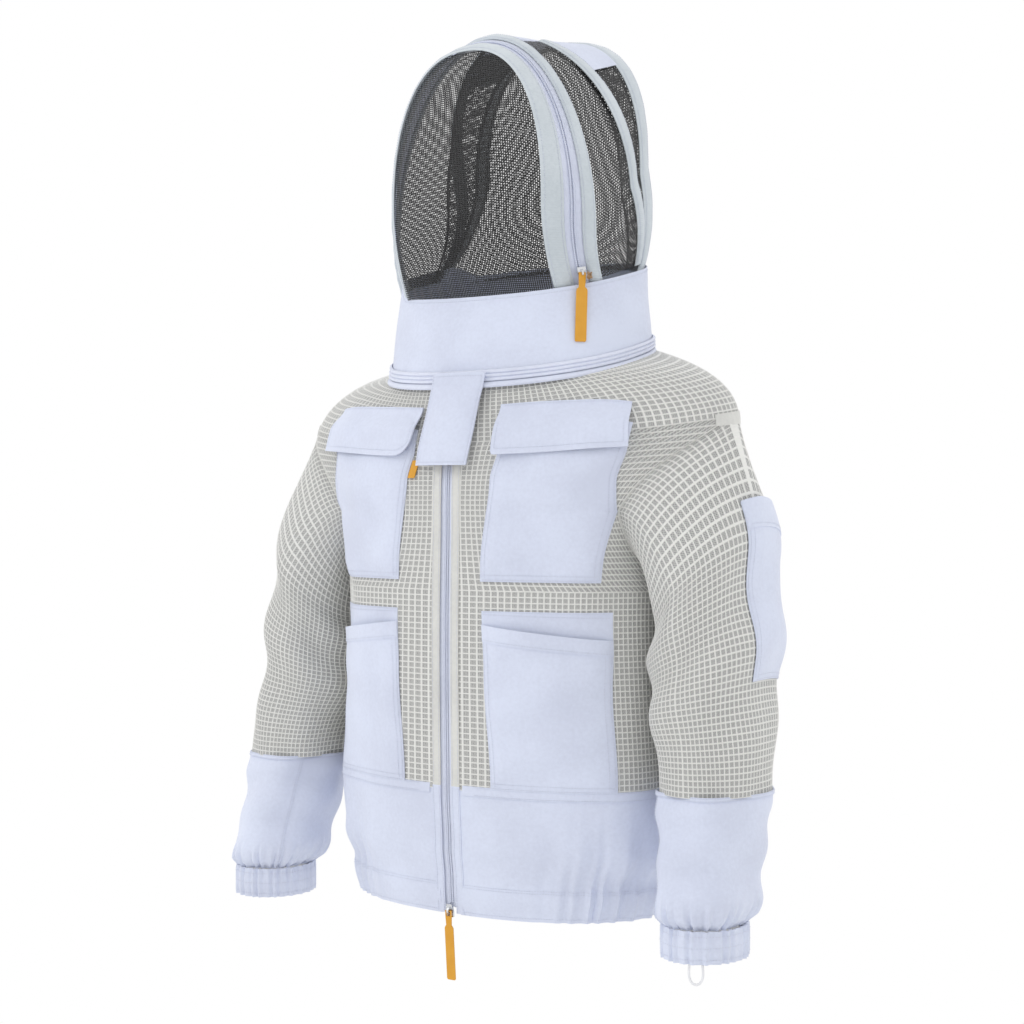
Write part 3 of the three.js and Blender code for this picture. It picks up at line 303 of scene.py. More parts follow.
def smooth(value):
    value = np.clip(value, 0, 1)
    return value ** 2 * (3 - 2 * value)


def mix(a, b, share):
    return a + (b - a) * share


def swell(share):
    """Nothing at both ends of a piece and full in its middle."""
    return np.sin(HALF_TURN * np.clip(share, 0, 1))


def bend(value, power):
    return np.sign(value) * np.abs(value) ** (2 / power)


def stack(x, y, z):
    return np.stack(np.broadcast_arrays(x, y, z), -1).astype(float)


def unit(v):
    return v / np.maximum(np.linalg.norm(v, axis=-1, keepdims=True), 1e-12)


def normals(surface, s, t, inside):
    """Unit normals of surface(s, t) that face away from the points inside(p)."""
    step = 2e-3
    ds = surface(s + step, t) - surface(s - step, t)
    dt = surface(s, t + step) - surface(s, t - step)
    normal = unit(np.cross(ds, dt))
    away = surface(s, t)
    away = away - inside(away)
    return normal * np.where(np.sum(normal * away, -1, keepdims=True) < 0, -1, 1)


# ---- the torso
def ring_point(ring, angle, outset=0.0):
    x = (ring["width"] + outset) * bend(np.sin(angle), TORSO_POWER)
    y = ring["y"] - (ring["depth"] + outset) * bend(np.cos(angle), TORSO_POWER)
    x = x * np.where(x < 0, ring["right"], mix(1, ring["left"], smooth(y / 0.08)))
    raised = ring["bump"] * smooth((-x - 0.118) / 0.030)
    return stack(x, y, up(ring["height"] + ring["slope"] * (y - ring["y"]) + raised))


def torso_base(angle, row):
    """The frame's torso surface; above YOKE_START the row runs on over the shoulder to the neck."""
    side = bend(np.sin(angle), TORSO_POWER)
    ahead = bend(np.cos(angle), TORSO_POWER)
    level = np.minimum(row, YOKE_START)
    start = stack(eased(WIDTH_KEYS, level) * side, TORSO_Y - eased(DEPTH_KEYS, level) * ahead, up(level))
    shoulder = np.abs(np.sin(angle)) ** 3
    end = ring_point(NECK, angle)
    first = start + stack(0.108 * side * shoulder, 0, mix(0.058, 0.070, shoulder))
    second = end + stack(0.182 * side * shoulder, -0.009 * ahead, -mix(0.040, 0.018, shoulder))
    k = np.clip((row - YOKE_START) / YOKE_LENGTH, 0, 1.05)[..., None]
    return (1 - k) ** 3 * start + 3 * (1 - k) ** 2 * k * first + 3 * (1 - k) * k ** 2 * second + k ** 3 * end


SOFT_FOLD = 0.0045               # how deep each kind of fold is
TENSION_FOLD = 0.0022
HEM_GATHER = 0.0026
HEM_BLOUSE = 0.004
SLEEVE_CREASE = 0.0045
SLEEVE_HANG = 0.0035
CUFF_BAG = 0.007
CUFF_GATHER = 0.0024


def torso_axis(p):
    return stack(0, TORSO_Y, p[..., 2] - 0.06)


def torso_fold(angle, row):
    """How far the cloth stands off its pattern: soft folds, and gathers at the hem away from the zip."""
    away = smooth((np.abs(np.sin(angle / 2)) - 0.16) / 0.3)
    hang = np.sin(5 * angle + 7 * row + 0.8) * 0.5 + np.sin(9 * angle - 13 * row) * 0.3
    hang = hang + np.sin(3 * angle + 21 * row + 2.1) * 0.35
    low = 1 - smooth((row - 0.30) / 0.35)
    soft = SOFT_FOLD * hang * (0.35 + 0.65 * low) * (0.25 + 0.75 * away)
    tension = TENSION_FOLD * np.sin(34 * row + 6 * np.cos(2 * angle)) * smooth((row - 0.34) / 0.1) * away
    rise = np.exp(-np.maximum(row - HEM_HIGH, 0) / 0.032)
    pleat = np.sin(44 * angle + 2.2 * np.sin(7 * angle)) + 0.5 * np.sin(71 * angle + 3 * np.cos(5 * angle))
    gather = HEM_GATHER * pleat * rise * away
    over_hem = np.exp(-((row - 0.075) / 0.03) ** 2)
    blouse = HEM_BLOUSE * np.sin(19 * angle + np.sin(4 * angle)) * away * over_hem
    at_neck = 1 - smooth((row - 0.60) / 0.1)
    return (soft + tension) * at_neck + gather + blouse


def torso(angle, row, lift=0.0):
    angle, row = np.broadcast_arrays(np.asarray(angle, float), np.asarray(row, float))
    normal = normals(torso_base, angle, row, torso_axis)
    return torso_base(angle, row) + normal * (torso_fold(angle, row) + lift)[..., None]


def armhole_half(row):
    share = np.clip((row - ARMPIT) / (SHOULDER_TIP - ARMPIT), 0, 1)
    return ARMHOLE_SPREAD * np.maximum(0, np.sin(HALF_TURN * share ** 1.15)) ** 0.75


def angle_at(across, row):
    """The angle at which the torso's front lies `across` from the centre line."""
    across, row = np.broadcast_arrays(np.asarray(across, float), np.asarray(row, float))
    low, high = np.zeros(across.shape), np.full(across.shape, HALF_TURN / 2)
    for _ in range(24):
        middle = (low + high) / 2
        inside = torso_base(middle, row)[..., 0] < np.abs(across)
        low, high = np.where(inside, middle, low), np.where(inside, high, middle)
    return np.sign(across) * low


def row_at(height):
    """The row that reaches a height above the hem on the centre front."""
    low, high = 0.0, YOKE_START + YOKE_LENGTH
    for _ in range(30):
        middle = (low + high) / 2
        if torso_base(np.array(0.0), np.array(middle))[2] < up(height):
            low = middle
        else:
            high = middle
    return low


# ---- the sleeves
def sleeve_base(sign, turn, share):
    """A sleeve's surface: turn 0 is the shoulder tip, a quarter the front; share 0 is the armhole."""
    turn = turn % 1
    half = np.where(turn <= 0.5, 2 * turn, 2 * (1 - turn))
    row = mix(SHOULDER_TIP - 0.002, ARMPIT + 0.002, half)
    lean = np.where(turn <= 0.5, -1, 1)
    seam = torso(sign * (HALF_TURN / 2 + lean * armhole_half(row)), row)
    angle = TURN * turn
    tilt = ARM_TILT * (1 - np.clip(share, 0, 1)) ** 1.6
    ring = stack(
        sign * (eased(ARM_X, share) + eased(ARM_WIDE, share) * bend(np.cos(angle), SLEEVE_POWER)),
        eased(ARM_Y, share) - eased(ARM_DEEP, share) * bend(np.sin(angle), SLEEVE_POWER),
        up(mix(ARM_TOP, FOREARM_SEAM, share) + tilt * np.cos(angle)),
    )
    return mix(seam, ring, smooth(share / 0.32)[..., None])


def sleeve(sign, turn, share, lift=0.0):
    turn, share = np.broadcast_arrays(np.asarray(turn, float), np.asarray(share, float))
    angle = TURN * turn
    free = smooth((share - 0.05) / 0.25)
    crease = np.sin(22 * share + 2.4 * np.cos(angle + 0.6 * sign)) * np.exp(-((share - 0.55) / 0.3) ** 2)
    hang = np.sin(4 * angle + 6 * share + sign) * 0.5 + np.sin(7 * angle - 9 * share) * 0.3
    fold = free * (SLEEVE_CREASE * crease + SLEEVE_HANG * hang)
    base = partial(sleeve_base, sign)
    middle = (base(turn, share) + base(turn + 0.5, share)) / 2
    return base(turn, share) + normals(base, turn, share, lambda p: middle) * (fold + lift)[..., None]


def cuff_pleats(angle):
    return np.sin(27 * angle + 2 * np.sin(3 * angle)) + 0.6 * np.sin(41 * angle + 2 * np.cos(2 * angle))


def forearm(sign, turn, share, lift=0.0):
    """A forearm from the seam to the cuff; it fills out over the cuff and is gathered into it."""
    turn, share = np.broadcast_arrays(np.asarray(turn, float), np.asarray(share, float))
    angle = TURN * turn
    narrow = np.clip(share, 0, 1) ** 1.3
    bag = CUFF_BAG * np.exp(-((share - 0.80) / 0.16) ** 2) - 0.006 * smooth((share - 0.93) / 0.07)
    gather = CUFF_GATHER * cuff_pleats(angle) * smooth((share - 0.70) / 0.3)
    long = 0.003 * np.sin(5 * angle + 3 * share + 2 * sign) * (1 - 0.6 * share)
    cross = 0.0025 * np.sin(15 * share + 2 * np.sin(angle + sign)) * smooth(share / 0.2)
    out = bag + gather + long + cross + lift
    wide = mix(ARM_WIDE[-1][1], CUFF["wide"], narrow) + out
    deep = mix(ARM_DEEP[-1][1], CUFF["deep"], narrow) + out
    return stack(
        sign * (mix(ARM_X[-1][1], CUFF["x"], share) + wide * bend(np.cos(angle), SLEEVE_POWER)),
        mix(ARM_Y[-1][1], CUFF["y"], share) - deep * bend(np.sin(angle), SLEEVE_POWER),
        up(mix(FOREARM_SEAM, CUFF_HIGH, share)),
    )


def cuff(sign, turn, share, lift=0.0):
    """The gathered casing round a cuff; share 0 is its top."""
    angle = TURN * np.asarray(turn, float)
    round_out = 0.0015 * swell(share)
    out = 0.0018 * cuff_pleats(angle) * (0.55 + 0.45 * np.abs(np.asarray(share) - 0.5) * 2) + round_out + lift
    return stack(
        sign * (CUFF["x"] + (CUFF["wide"] + out) * np.cos(angle)),
        CUFF["y"] - (CUFF["deep"] + out) * np.sin(angle),
        up(mix(CUFF_HIGH, CUFF_LOW, share)),
    )


# ---- the collar and the hood
def collar(angle, share, outset=0.004):
    low = ring_point(NECK, angle, outset)
    ripple = 0.0012 * np.sin(7 * angle + 5 * share) * swell(share)
    point = mix(low, ring_point(COLLAR_TOP, angle, outset), np.asarray(share, float)[..., None])
    return point + unit(point - stack(0, NECK["y"], point[..., 2])) * ripple[..., None]


def arch_point(arch, t):
    t = np.asarray(t, float)
    size = np.minimum(np.abs(t), 1.05)
    angle = np.minimum(size / ARC_SHARE, 1) * HALF_TURN / 2
    round_x = arch["width"] * bend(np.sin(angle), arch["power"])
    round_z = mix(arch["side"], arch["top"], bend(np.cos(angle), arch["power"]))
    fall = np.maximum(0, (size - ARC_SHARE) / (1 - ARC_SHARE))
    low = size > ARC_SHARE
    x = np.where(low, mix(arch["width"], arch["low_width"], fall), round_x)
    y = mix(arch["y"], arch["low_y"], fall ** 2)
    z = np.where(low, mix(arch["side"], arch["low"], fall), round_z)
    return stack(np.sign(t) * x, y, up(z))


def tunnel_base(t, depth):
    """The hood: a cone from the face arch (depth 0) to the middle one, and a tunnel to the rear (depth 1)."""
    depth = np.asarray(depth, float)[..., None]
    middle = arch_point(MIDDLE_ARCH, t)
    cone = mix(arch_point(FACE_ARCH, t), middle, depth / MIDDLE_DEPTH)
    back = mix(middle, arch_point(REAR_ARCH, t), (depth - MIDDLE_DEPTH) / (1 - MIDDLE_DEPTH))
    return np.where(depth < MIDDLE_DEPTH, cone, back)


def hood_axis(p):
    return stack(0, p[..., 1], np.minimum(p[..., 2], up(0.960)))


def tunnel(t, depth, lift=0.0):
    t, depth = np.broadcast_arrays(np.asarray(t, float), np.asarray(depth, float))
    return tunnel_base(t, depth) + normals(tunnel_base, t, depth, hood_axis) * np.asarray(lift)[..., None]


NET_TUCK = 0.008                 # how far a net's foot goes down inside the collar


def arch_net(arch, side, across, level, lift=0.0):
    """A net that closes an arch and meets the collar's top; side -1 is the face, 1 the back."""
    edge = arch_point(arch, level)
    foot = arch_point(arch, 1.0)
    x = foot[0] * across
    root = np.clip(1 - (np.abs(x) / COLLAR_TOP["width"]) ** TORSO_POWER, 0, 1) ** (1 / TORSO_POWER)
    ring_y = COLLAR_TOP["y"] + side * COLLAR_TOP["depth"] * root
    ring_z = up(COLLAR_TOP["height"] + COLLAR_TOP["slope"] * (ring_y - COLLAR_TOP["y"]) - NET_TUCK)
    bulge = np.clip((level - 0.1) / 0.9, 0, 1) ** 1.6
    return stack(
        edge[..., 0] * across,
        edge[..., 1] + (ring_y - foot[1]) * bulge + side * lift,
        edge[..., 2] + (ring_z - foot[2]) * bulge ** 3,
    )


# ---- mesh makers
STITCH_LINES = {}
SHARP = 55                       # degrees between faces


def add_mesh(name, points, faces, uvs, material):
    mesh = bpy.data.meshes.new(name)
    mesh.from_pydata(np.asarray(points).reshape(-1, 3).tolist(), [], faces.tolist())
    if uvs is not None:
        loops = np.zeros(len(mesh.loops), int)
        mesh.loops.foreach_get("vertex_index", loops)
        layer = mesh.uv_layers.new(name="cloth")
        layer.data.foreach_set("uv", np.asarray(uvs, float).reshape(-1, 2)[loops].ravel())
    mesh.polygons.foreach_set("use_smooth", np.ones(len(mesh.polygons), bool))
    mesh.set_sharp_from_angle(angle=math.radians(SHARP))
    return add_object(name, mesh, material)


def add_object(name, data, material):
    data.materials.append(MATERIALS[material])
    piece = bpy.data.objects.new(name, data)
    bpy.context.collection.objects.link(piece)
    return piece


def add_closed_mesh(name, points, faces, material, smooth_faces):
    """A closed form whose faces are turned to wind outward."""
    mesh = bpy.data.meshes.new(name)
    mesh.from_pydata(points.reshape(-1, 3).tolist(), [], faces)
    fix = bmesh.new()
    fix.from_mesh(mesh)
    bmesh.ops.recalc_face_normals(fix, faces=fix.faces)
    fix.to_mesh(mesh)
    fix.free()
    mesh.polygons.foreach_set("use_smooth", np.full(len(mesh.polygons), smooth_faces))
    return add_object(name, mesh, material)


def grid_faces(rows, columns, wrap, start=0, flip=False):
    i, j = np.meshgrid(np.arange(rows - 1), np.arange(columns if wrap else columns - 1), indexing="ij")
    i, j = i.ravel(), j.ravel()
    after = (j + 1) % columns
    near, far = i * columns, (i + 1) * columns
    quads = np.stack([near + j, near + after, far + after, far + j], 1)
    return start + (quads[:, ::-1] if flip else quads)


def outward(points):
    """True if a grid's first faces wind so that most normals point away from the grid's middle."""
    across = points[1:, :-1] - points[:-1, :-1]
    along = points[:-1, 1:] - points[:-1, :-1]
    normal = np.cross(along, across)
    away = points[:-1, :-1] - points.reshape(-1, 3).mean(0)
    return np.sum(normal * away) > 0


def sheet_mesh(name, points, material, uvs):
    """One layer of cloth over a grid of points."""
    faces = grid_faces(*points.shape[:2], False, flip=not outward(points))
    return add_mesh(name, points, faces, uvs, material)


def shell(name, surface, columns, rows, thick, material, wrap=False, under=0.0):
    """Cloth of some thickness over surface(s, t, lift), closed all round."""
    count = columns if wrap else columns + 1
    s, t = np.meshgrid(np.arange(count) / columns, np.linspace(0, 1, rows + 1))
    outer, inner = surface(s, t, under + thick), surface(s, t, under)
    rows += 1
    size = rows * count
    faces = [grid_faces(rows, count, wrap), grid_faces(rows, count, wrap, size, True)]
    j = np.arange(count if wrap else count - 1)
    after = (j + 1) % count
    last = (rows - 1) * count
    faces.append(np.stack([after, j, size + j, size + after], 1))
    faces.append(np.stack([last + j, last + after, size + last + after, size + last + j], 1))
    if not wrap:
        i = np.arange(rows - 1) * count
        end = i + count - 1
        faces.append(np.stack([i, i + count, size + i + count, size + i], 1))
        faces.append(np.stack([end + count, end, size + end, size + end + count], 1))
    faces = np.concatenate(faces)
    points = np.concatenate([outer.reshape(-1, 3), inner.reshape(-1, 3)])
    if volume(points, faces) < 0:
        faces = faces[:, ::-1]
    return add_mesh(name, points, faces, None, material)


def volume(points, faces):
    """Six times the volume inside four-sided faces; less than nothing when they wind inward."""
    a, b, c, d = (points[faces[:, k]] for k in range(4))
    return np.sum(a * np.cross(b, c)) + np.sum(a * np.cross(c, d))


STRAND_HALF = 0.13               # of a lattice square
STRAND_RISE = 0.0011


def lattice_lines(cells):
    """Grid lines that follow the strands, with how high each stands."""
    places, heights = [], []
    for k in range(cells + 1):
        for offset, height in ((-STRAND_HALF, 0.55), (0, 1), (STRAND_HALF, 0.55), (0.5, 0)):
            if 0 <= k + offset <= cells:
                places.append(k + offset)
                heights.append(height)
    return np.array(places), np.array(heights)


def lattice(name, surface, width, length, wrap=False):
    """Ventilated cloth with its strands as real ridges."""
    columns, rows = max(2, round(width / LATTICE)), max(2, round(length / LATTICE))
    u, high_u = lattice_lines(columns)
    v, high_v = lattice_lines(rows)
    if wrap:
        u, high_u = u[:-1], high_u[:-1]
    s, t = np.meshgrid(u / columns, v / rows)
    lift = STRAND_RISE * np.maximum(high_u[None, :], high_v[:, None])
    points = surface(s, t, lift)
    if wrap:
        points = np.concatenate([points, points[:, :1]], 1)
        s = np.concatenate([s, np.ones((len(v), 1))], 1)
        t = np.concatenate([t, t[:, :1]], 1)
    return sheet_mesh(name, points, "ventilated_mesh", np.stack([s * columns, t * rows], -1))


def surface_points(surface, columns, rows):
    s, t = np.meshgrid(np.linspace(0, 1, columns + 1), np.linspace(0, 1, rows + 1))
    return surface(s, t, 0.0)


def flat_size(surface):
    """The width, length and area that a piece of cloth is cut to, measured on its pattern."""
    p = surface_points(surface, 24, 24)
    rows = np.linalg.norm(np.diff(p, axis=1), axis=-1)
    columns = np.linalg.norm(np.diff(p, axis=0), axis=-1)
    ds, dt = p[:-1, 1:] - p[:-1, :-1], p[1:, :-1] - p[:-1, :-1]
    area = np.linalg.norm(np.cross(ds, dt), axis=-1).sum()
    return float(rows.sum(1).max()), float(columns.sum(0).max()), float(area)


NARROWEST = 0.0105


def cut_from(surface, fullness):
    """Measures a piece's pattern and widens it by fullness, the extra width that gathers take up; the sizes
    are not used.
    A tape narrower than NARROWEST is trim, and returns at once."""
    width, length, area = flat_size(surface)
    if min(width, length) < NARROWEST:
        return
    width = width * fullness
    area = min(area * fullness, width * length)


def dress(piece, body=None, node=None, surface=None, fullness=1.0):
    if node:
        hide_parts(node)
    if body:
        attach(piece, body)
    if surface:
        cut_from(surface, fullness)


def sew(name, surface, grid, thick, material, body=None, node=None, held="laid", fullness=1.0,
        wrap=False, under=0.0):
    """A shell of cloth, dressed; `held` is None for trim that is no sheet."""
    piece = shell(name, surface, *grid, thick, material, wrap, under)
    dress(piece, body, node, surface if held else None, fullness)
    return piece


def part_of(surface, across=(0, 1), along=(0, 1), out=0.0):
    """The part of a surface between two shares each way, standing `out` from it."""
    return lambda s, t, lift=0.0: surface(mix(*across, s), mix(*along, t), out + lift)


def stitch_along(body, surface, s, t, lift=0.0):
    """Remembers a line of stitches over a surface, through the points at s and t."""
    s, t = np.broadcast_arrays(np.asarray(s, float), np.asarray(t, float))
    here = surface(s, t, lift)
    STITCH_LINES.setdefault(body, []).append((here, unit(surface(s, t, lift + 0.001) - here)))


def stitch_rows(body, surface, levels, lift, ends=(0.01, 0.99), count=240):
    for level in levels:
        stitch_along(body, surface, np.linspace(*ends, count), level, lift)


def stitch_columns(body, surface, places, lift, ends=(0.01, 0.99), count=240):
    for place_at in places:
        stitch_along(body, surface, place_at, np.linspace(*ends, count), lift)


TUBE_SIDES = 8
TUBE_UP = (0.31, 0.17, 0.93)     # along no cord or coil
STITCH_STEP = 0.0034
STITCH_LONG = 0.0025
STITCH_RADIUS = 0.00035


def run_along(line):
    """The distance run at each point of a line."""
    return np.concatenate([[0], np.cumsum(np.linalg.norm(np.diff(line, axis=0), axis=1))])


def read_at(run, values, at):
    return np.stack([np.interp(at, run, values[:, k]) for k in range(3)], 1)


def stitch_points(line, normal):
    """The middles, directions and normals of the stitches along a line."""
    run = run_along(line)
    at = np.arange(STITCH_STEP / 2, run[-1], STITCH_STEP)
    ahead = read_at(run, line, at + 1e-3) - read_at(run, line, at - 1e-3)
    return read_at(run, line, at), unit(ahead), unit(read_at(run, normal, at))


def add_stitches():
    """One mesh of short, rounded threads for each body."""
    for body, lines in STITCH_LINES.items():
        points, faces, start = [], [], 0
        for line, normal in lines:
            middle, ahead, out = stitch_points(line, normal)
            side = np.cross(ahead, out)
            for centre, a, o, x in zip(middle, ahead, out, side):
                for reach, size in ((-0.5, 0.35), (0, 1), (0.5, 0.35)):
                    ring = centre + a * reach * STITCH_LONG + o * STITCH_RADIUS * 0.4
                    for k in range(4):
                        turn = k * HALF_TURN / 2
                        points.append(ring + (x * math.cos(turn) + o * math.sin(turn)) * size * STITCH_RADIUS)
                for level in (0, 4):
                    for k in range(4):
                        n = (k + 1) % 4
                        faces.append((start + level + k, start + level + n,
                                      start + level + 4 + n, start + level + 4 + k))
                faces.append((start + 3, start + 2, start + 1, start))
                faces.append((start + 8, start + 9, start + 10, start + 11))
                start += 12
        piece = add_mesh(f"stitching_{body}", np.array(points), np.array(faces), None, "thread")
        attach(piece, body)


def tube(name, line, radius, material):
    """A round tube along a line of points; radius may be one number or one for each point."""
    radius = np.broadcast_to(radius, (len(line),))
    ahead = unit(np.gradient(line, axis=0))
    aside = unit(np.cross(ahead, unit(np.array(TUBE_UP))))
    over = np.cross(ahead, aside)
    turn = (np.arange(TUBE_SIDES) * TURN / TUBE_SIDES)[None, :, None]
    ring = aside[:, None] * np.cos(turn) + over[:, None] * np.sin(turn)
    points = line[:, None] + radius[:, None, None] * ring
    faces = grid_faces(len(line), TUBE_SIDES, True).tolist()
    last = (len(line) - 1) * TUBE_SIDES
    faces += [list(range(TUBE_SIDES)), list(range(last, last + TUBE_SIDES))]
    return add_closed_mesh(name, points, faces, material, True)


TOOTH = 0.0026


def zip_coil(name, line, radius, phase):
    """A coil of zip teeth: a tube that swells at each tooth."""
    run = run_along(line)
    at = np.arange(0, run[-1], TOOTH / 4)
    rise = 0.72 + 0.28 * np.cos(TURN * (at / TOOTH + phase))
    return tube(name, read_at(run, line, at), radius * rise, "white_zip")


# ---- the thumb loop: a short elastic cord that hangs from the front of the left cuff
LOOP_ROUTE = [
    (-7.5, 0.4), (-7.9, 4), (-8.2, 8), (-8.2, 12), (-7.7, 16), (-6.4, 19.6), (-4.3, 22.4), (-1.6, 24),
    (1.4, 24.1), (4.2, 22.7), (6.4, 20), (7.8, 16.4), (8.4, 12.2), (8.3, 8), (7.9, 4), (7.4, 0.4),
]
LOOP_RADIUS = 0.0015
LOOP_TURN = 0.195
LOOP_INSET = 0.004


def add_thumb_loop():
    angle = LOOP_TURN * TURN
    root = Vector((CUFF["x"] + (CUFF["wide"] - LOOP_INSET) * math.cos(angle),
                   CUFF["y"] - (CUFF["deep"] - LOOP_INSET) * math.sin(angle), up(CUFF_LOW)))
    across = Vector((math.sin(angle) * CUFF["wide"], math.cos(angle) * CUFF["deep"], 0)).normalized()
    route = [root + across * x / 1000 - Vector((0, 0, below / 1000)) for x, below in LOOP_ROUTE]
    curve = bpy.data.curves.new("thumb_loop_cord", "CURVE")
    curve.dimensions = "3D"
    curve.bevel_depth = LOOP_RADIUS
    curve.bevel_resolution = 3
    curve.use_fill_caps = True
    spline = curve.splines.new("POLY")
    spline.points.add(len(route) - 1)
    for point, place_at in zip(spline.points, route):
        point.co = (*place_at, 1)
    loop = add_object("thumb_loop_cord", curve, "elastic")
    length = sum((b - a).length for a, b in zip(route, route[1:]))
    dress(loop, "sleeve_left", "thumb_loop")
    tuple(route[0])


# ---- body panels
MESH_UNDER = 0.0003
COTTON = 0.0010                  # thickness of one layer
FOLDED = 0.0012
SEAM_HALF = 0.006
SIDE_SEAM_TURN = 0.025           # half the side seam's width, as a turn round the body


def torso_patch(edges, rows, lift=0.0):
    """A surface(s, t, lift) of the torso between two edges, each a function of the row."""
    def surface(s, t, extra=0.0):
        row = mix(*rows, t)
        return torso(mix(edges[0](row), edges[1](row), s), row, lift + extra)
    return surface


def side_seam(row):
    return HALF_TURN / 2 - armhole_half(row)


def back_seam(row):
    return HALF_TURN / 2 + armhole_half(row)


def front_edges(sign):
    return [lambda row: sign * angle_at(ZIP_HALF - 0.002, row), lambda row: sign * side_seam(row)]


BACK_EDGES = [back_seam, lambda row: TURN - back_seam(row)]


def add_body_panels():
    panels = [(f"front_{side}", front_edges(sign), 80) for side, sign in SIDES] + [("back", BACK_EDGES, 150)]
    for name, edges, count in panels:
        upper = torso_patch(edges, (WAIST_SEAM, YOKE_START + YOKE_LENGTH - 0.001), MESH_UNDER)
        panel = lattice(f"{name}_mesh_cloth", upper, *flat_size(upper)[:2])
        dress(panel, "jacket", f"{name}_mesh_panel", upper)
        sew(f"{name}_waist_cloth", torso_patch(edges, (HEM_HIGH, WAIST_SEAM)), (count, 34), COTTON,
            "white_cotton", "jacket", f"{name}_waist_panel", "gathered", 1.1)


def add_seams():
    """The doubled, denser cloth along each seam, with its stitches."""
    def waist(s, t, lift=0.0):
        return torso(mix(0.075, TURN - 0.075, s), WAIST_SEAM + SEAM_HALF * (2 * t - 1), lift)

    sew("waist_seam", waist, (220, 2), FOLDED, "white_cotton", "jacket", under=0.0010)
    stitch_rows("jacket", waist, (0.12, 0.88), 0.0024, count=160)
    for side, sign in SIDES:
        edges = [lambda row, turn=turn, sign=sign: sign * (HALF_TURN / 2 + turn)
                 for turn in (-SIDE_SEAM_TURN, SIDE_SEAM_TURN)]
        seam = torso_patch(edges, (HEM_HIGH, ARMPIT))
        sew(f"side_seam_{side}", seam, (2, 120), FOLDED, "mesh_fold", "jacket", under=0.0010)
        stitch_columns("jacket", seam, (0.12, 0.88), 0.0024, count=160)


def add_hem():
    start = float(angle_at(ZIP_HALF, HEM_HIGH))

    def hem(s, t, lift=0.0):
        puff = 0.0022 * swell(t) - 0.001
        return torso(mix(start, TURN - start, s), mix(HEM_HIGH + 0.003, HEM_LOW, t), lift + puff)

    sew("hem_cloth", hem, (260, 10), 0.0016, "white_cotton", "jacket", "hem_casing", "gathered",
        1.1)
    piece = shell("hem_elastic_band", part_of(hem, along=(0.2, 0.85), out=-0.004), 260, 2, FOLDED, "elastic")
    dress(piece, "jacket", "hem_elastic")
    stitch_rows("jacket", hem, (0.10, 0.17, 0.90), 0.0017, (0.002, 0.998), 900)


# ---- front zip
TAPE_INNER = 0.0035              # distances from the zip's middle
COIL_AT = 0.0017
FACING = (0.0085, 0.0205)
BACKING_HALF = 0.0075


def zip_strip(rows, across, lift):
    """A surface up the centre front, between two distances from its middle."""
    def surface(s, t, extra=0.0):
        return torso(0 * s, mix(*rows, t), lift + extra) + stack(mix(*across, s), 0, 0)
    return surface


def add_front_zip():
    top = row_at(ZIP_HIGH)
    seam = WAIST_SEAM + 0.004
    for side, sign in SIDES:
        tape = zip_strip((ZIP_LOW, top), (sign * TAPE_INNER, sign * ZIP_HALF), -0.0022)
        node = f"zip_tape_{side}"
        sew(f"{node}_cloth", tape, (6, 120), 0.0011, "white_zip", "jacket", node, "hung")
        track = zip_strip((ZIP_LOW + 0.006, top - 0.006), (sign * COIL_AT, sign * COIL_AT), -0.0012)
        coil = zip_coil(f"zip_coil_{side}_teeth", track(0.0, np.linspace(0, 1, 160)), 0.0018,
                        0.5 if sign > 0 else 0.0)
        dress(coil, "jacket", f"zip_coil_{side}")
        for part, rows, material in (("waist", (HEM_LOW + 0.001, seam), "white_cotton"),
                                     ("chest", (seam, top + 0.004), "mesh_fold")):
            facing = zip_strip(rows, (sign * FACING[0], sign * FACING[1]), 0.0)
            sew(f"zip_facing_{part}_{side}", facing, (6, 90), 0.0013, material, "jacket", held="folded",
                under=0.0006)
            stitch_columns("jacket", facing, (0.14, 0.86), 0.0020, (0.005, 0.995), 300)
    backing = zip_strip((ZIP_LOW, top), (-BACKING_HALF, BACKING_HALF), -0.0036)
    sew("zip_backing", backing, (4, 120), 0.0008, "white_zip", "jacket")


# ---- sleeves
CAP_TURN = 0.15                  # the shoulder cap's reach each way round the body
JOINT_HIGH = (0.250, 0.600)      # the upper and lower ends of the joint between torso and arm, each a distance aside and a height
JOINT_LOW = (0.330, 0.420)
SLEEVE_POCKET = {"turns": (-0.20, 0.035), "shares": (0.67, 0.24)}


def across_joint(piece, sign):
    """Bakes a piece's transform into its mesh. The ends of the cloth between the torso and the arm, from the
    armhole to a hand's length below it, are worked out but not used.
    """
    ends = [(sign * x, 0.02, up(height)) for x, height in (JOINT_HIGH, JOINT_LOW)]
    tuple(ends[0])
    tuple(ends[1])
    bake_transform(piece)


def add_upper_sleeve(side, sign):
    upper = partial(sleeve, sign)
    width, length, _ = flat_size(upper)
    cloth = lattice(f"sleeve_{side}_mesh_cloth", upper, width * 1.12, length * 1.08, wrap=True)
    dress(cloth, None, f"sleeve_{side}_mesh", upper)
    seam = sew(f"armhole_seam_{side}", part_of(upper, along=(-0.02, 0.035)), (110, 3), 0.0014, "mesh_fold",
               wrap=True, under=0.0008)
    edges = [lambda row, turn=turn: sign * (HALF_TURN / 2 + turn) for turn in (-CAP_TURN, CAP_TURN)]
    cap = torso_patch(edges, (SHOULDER_TIP - 0.009, SHOULDER_TIP + 0.004), 0.0004)
    shoulder = sew(f"shoulder_cap_{side}", cap, (24, 8), 0.0014, "mesh_fold", under=0.0008)
    for piece in (cloth, seam, shoulder):
        across_joint(piece, sign)


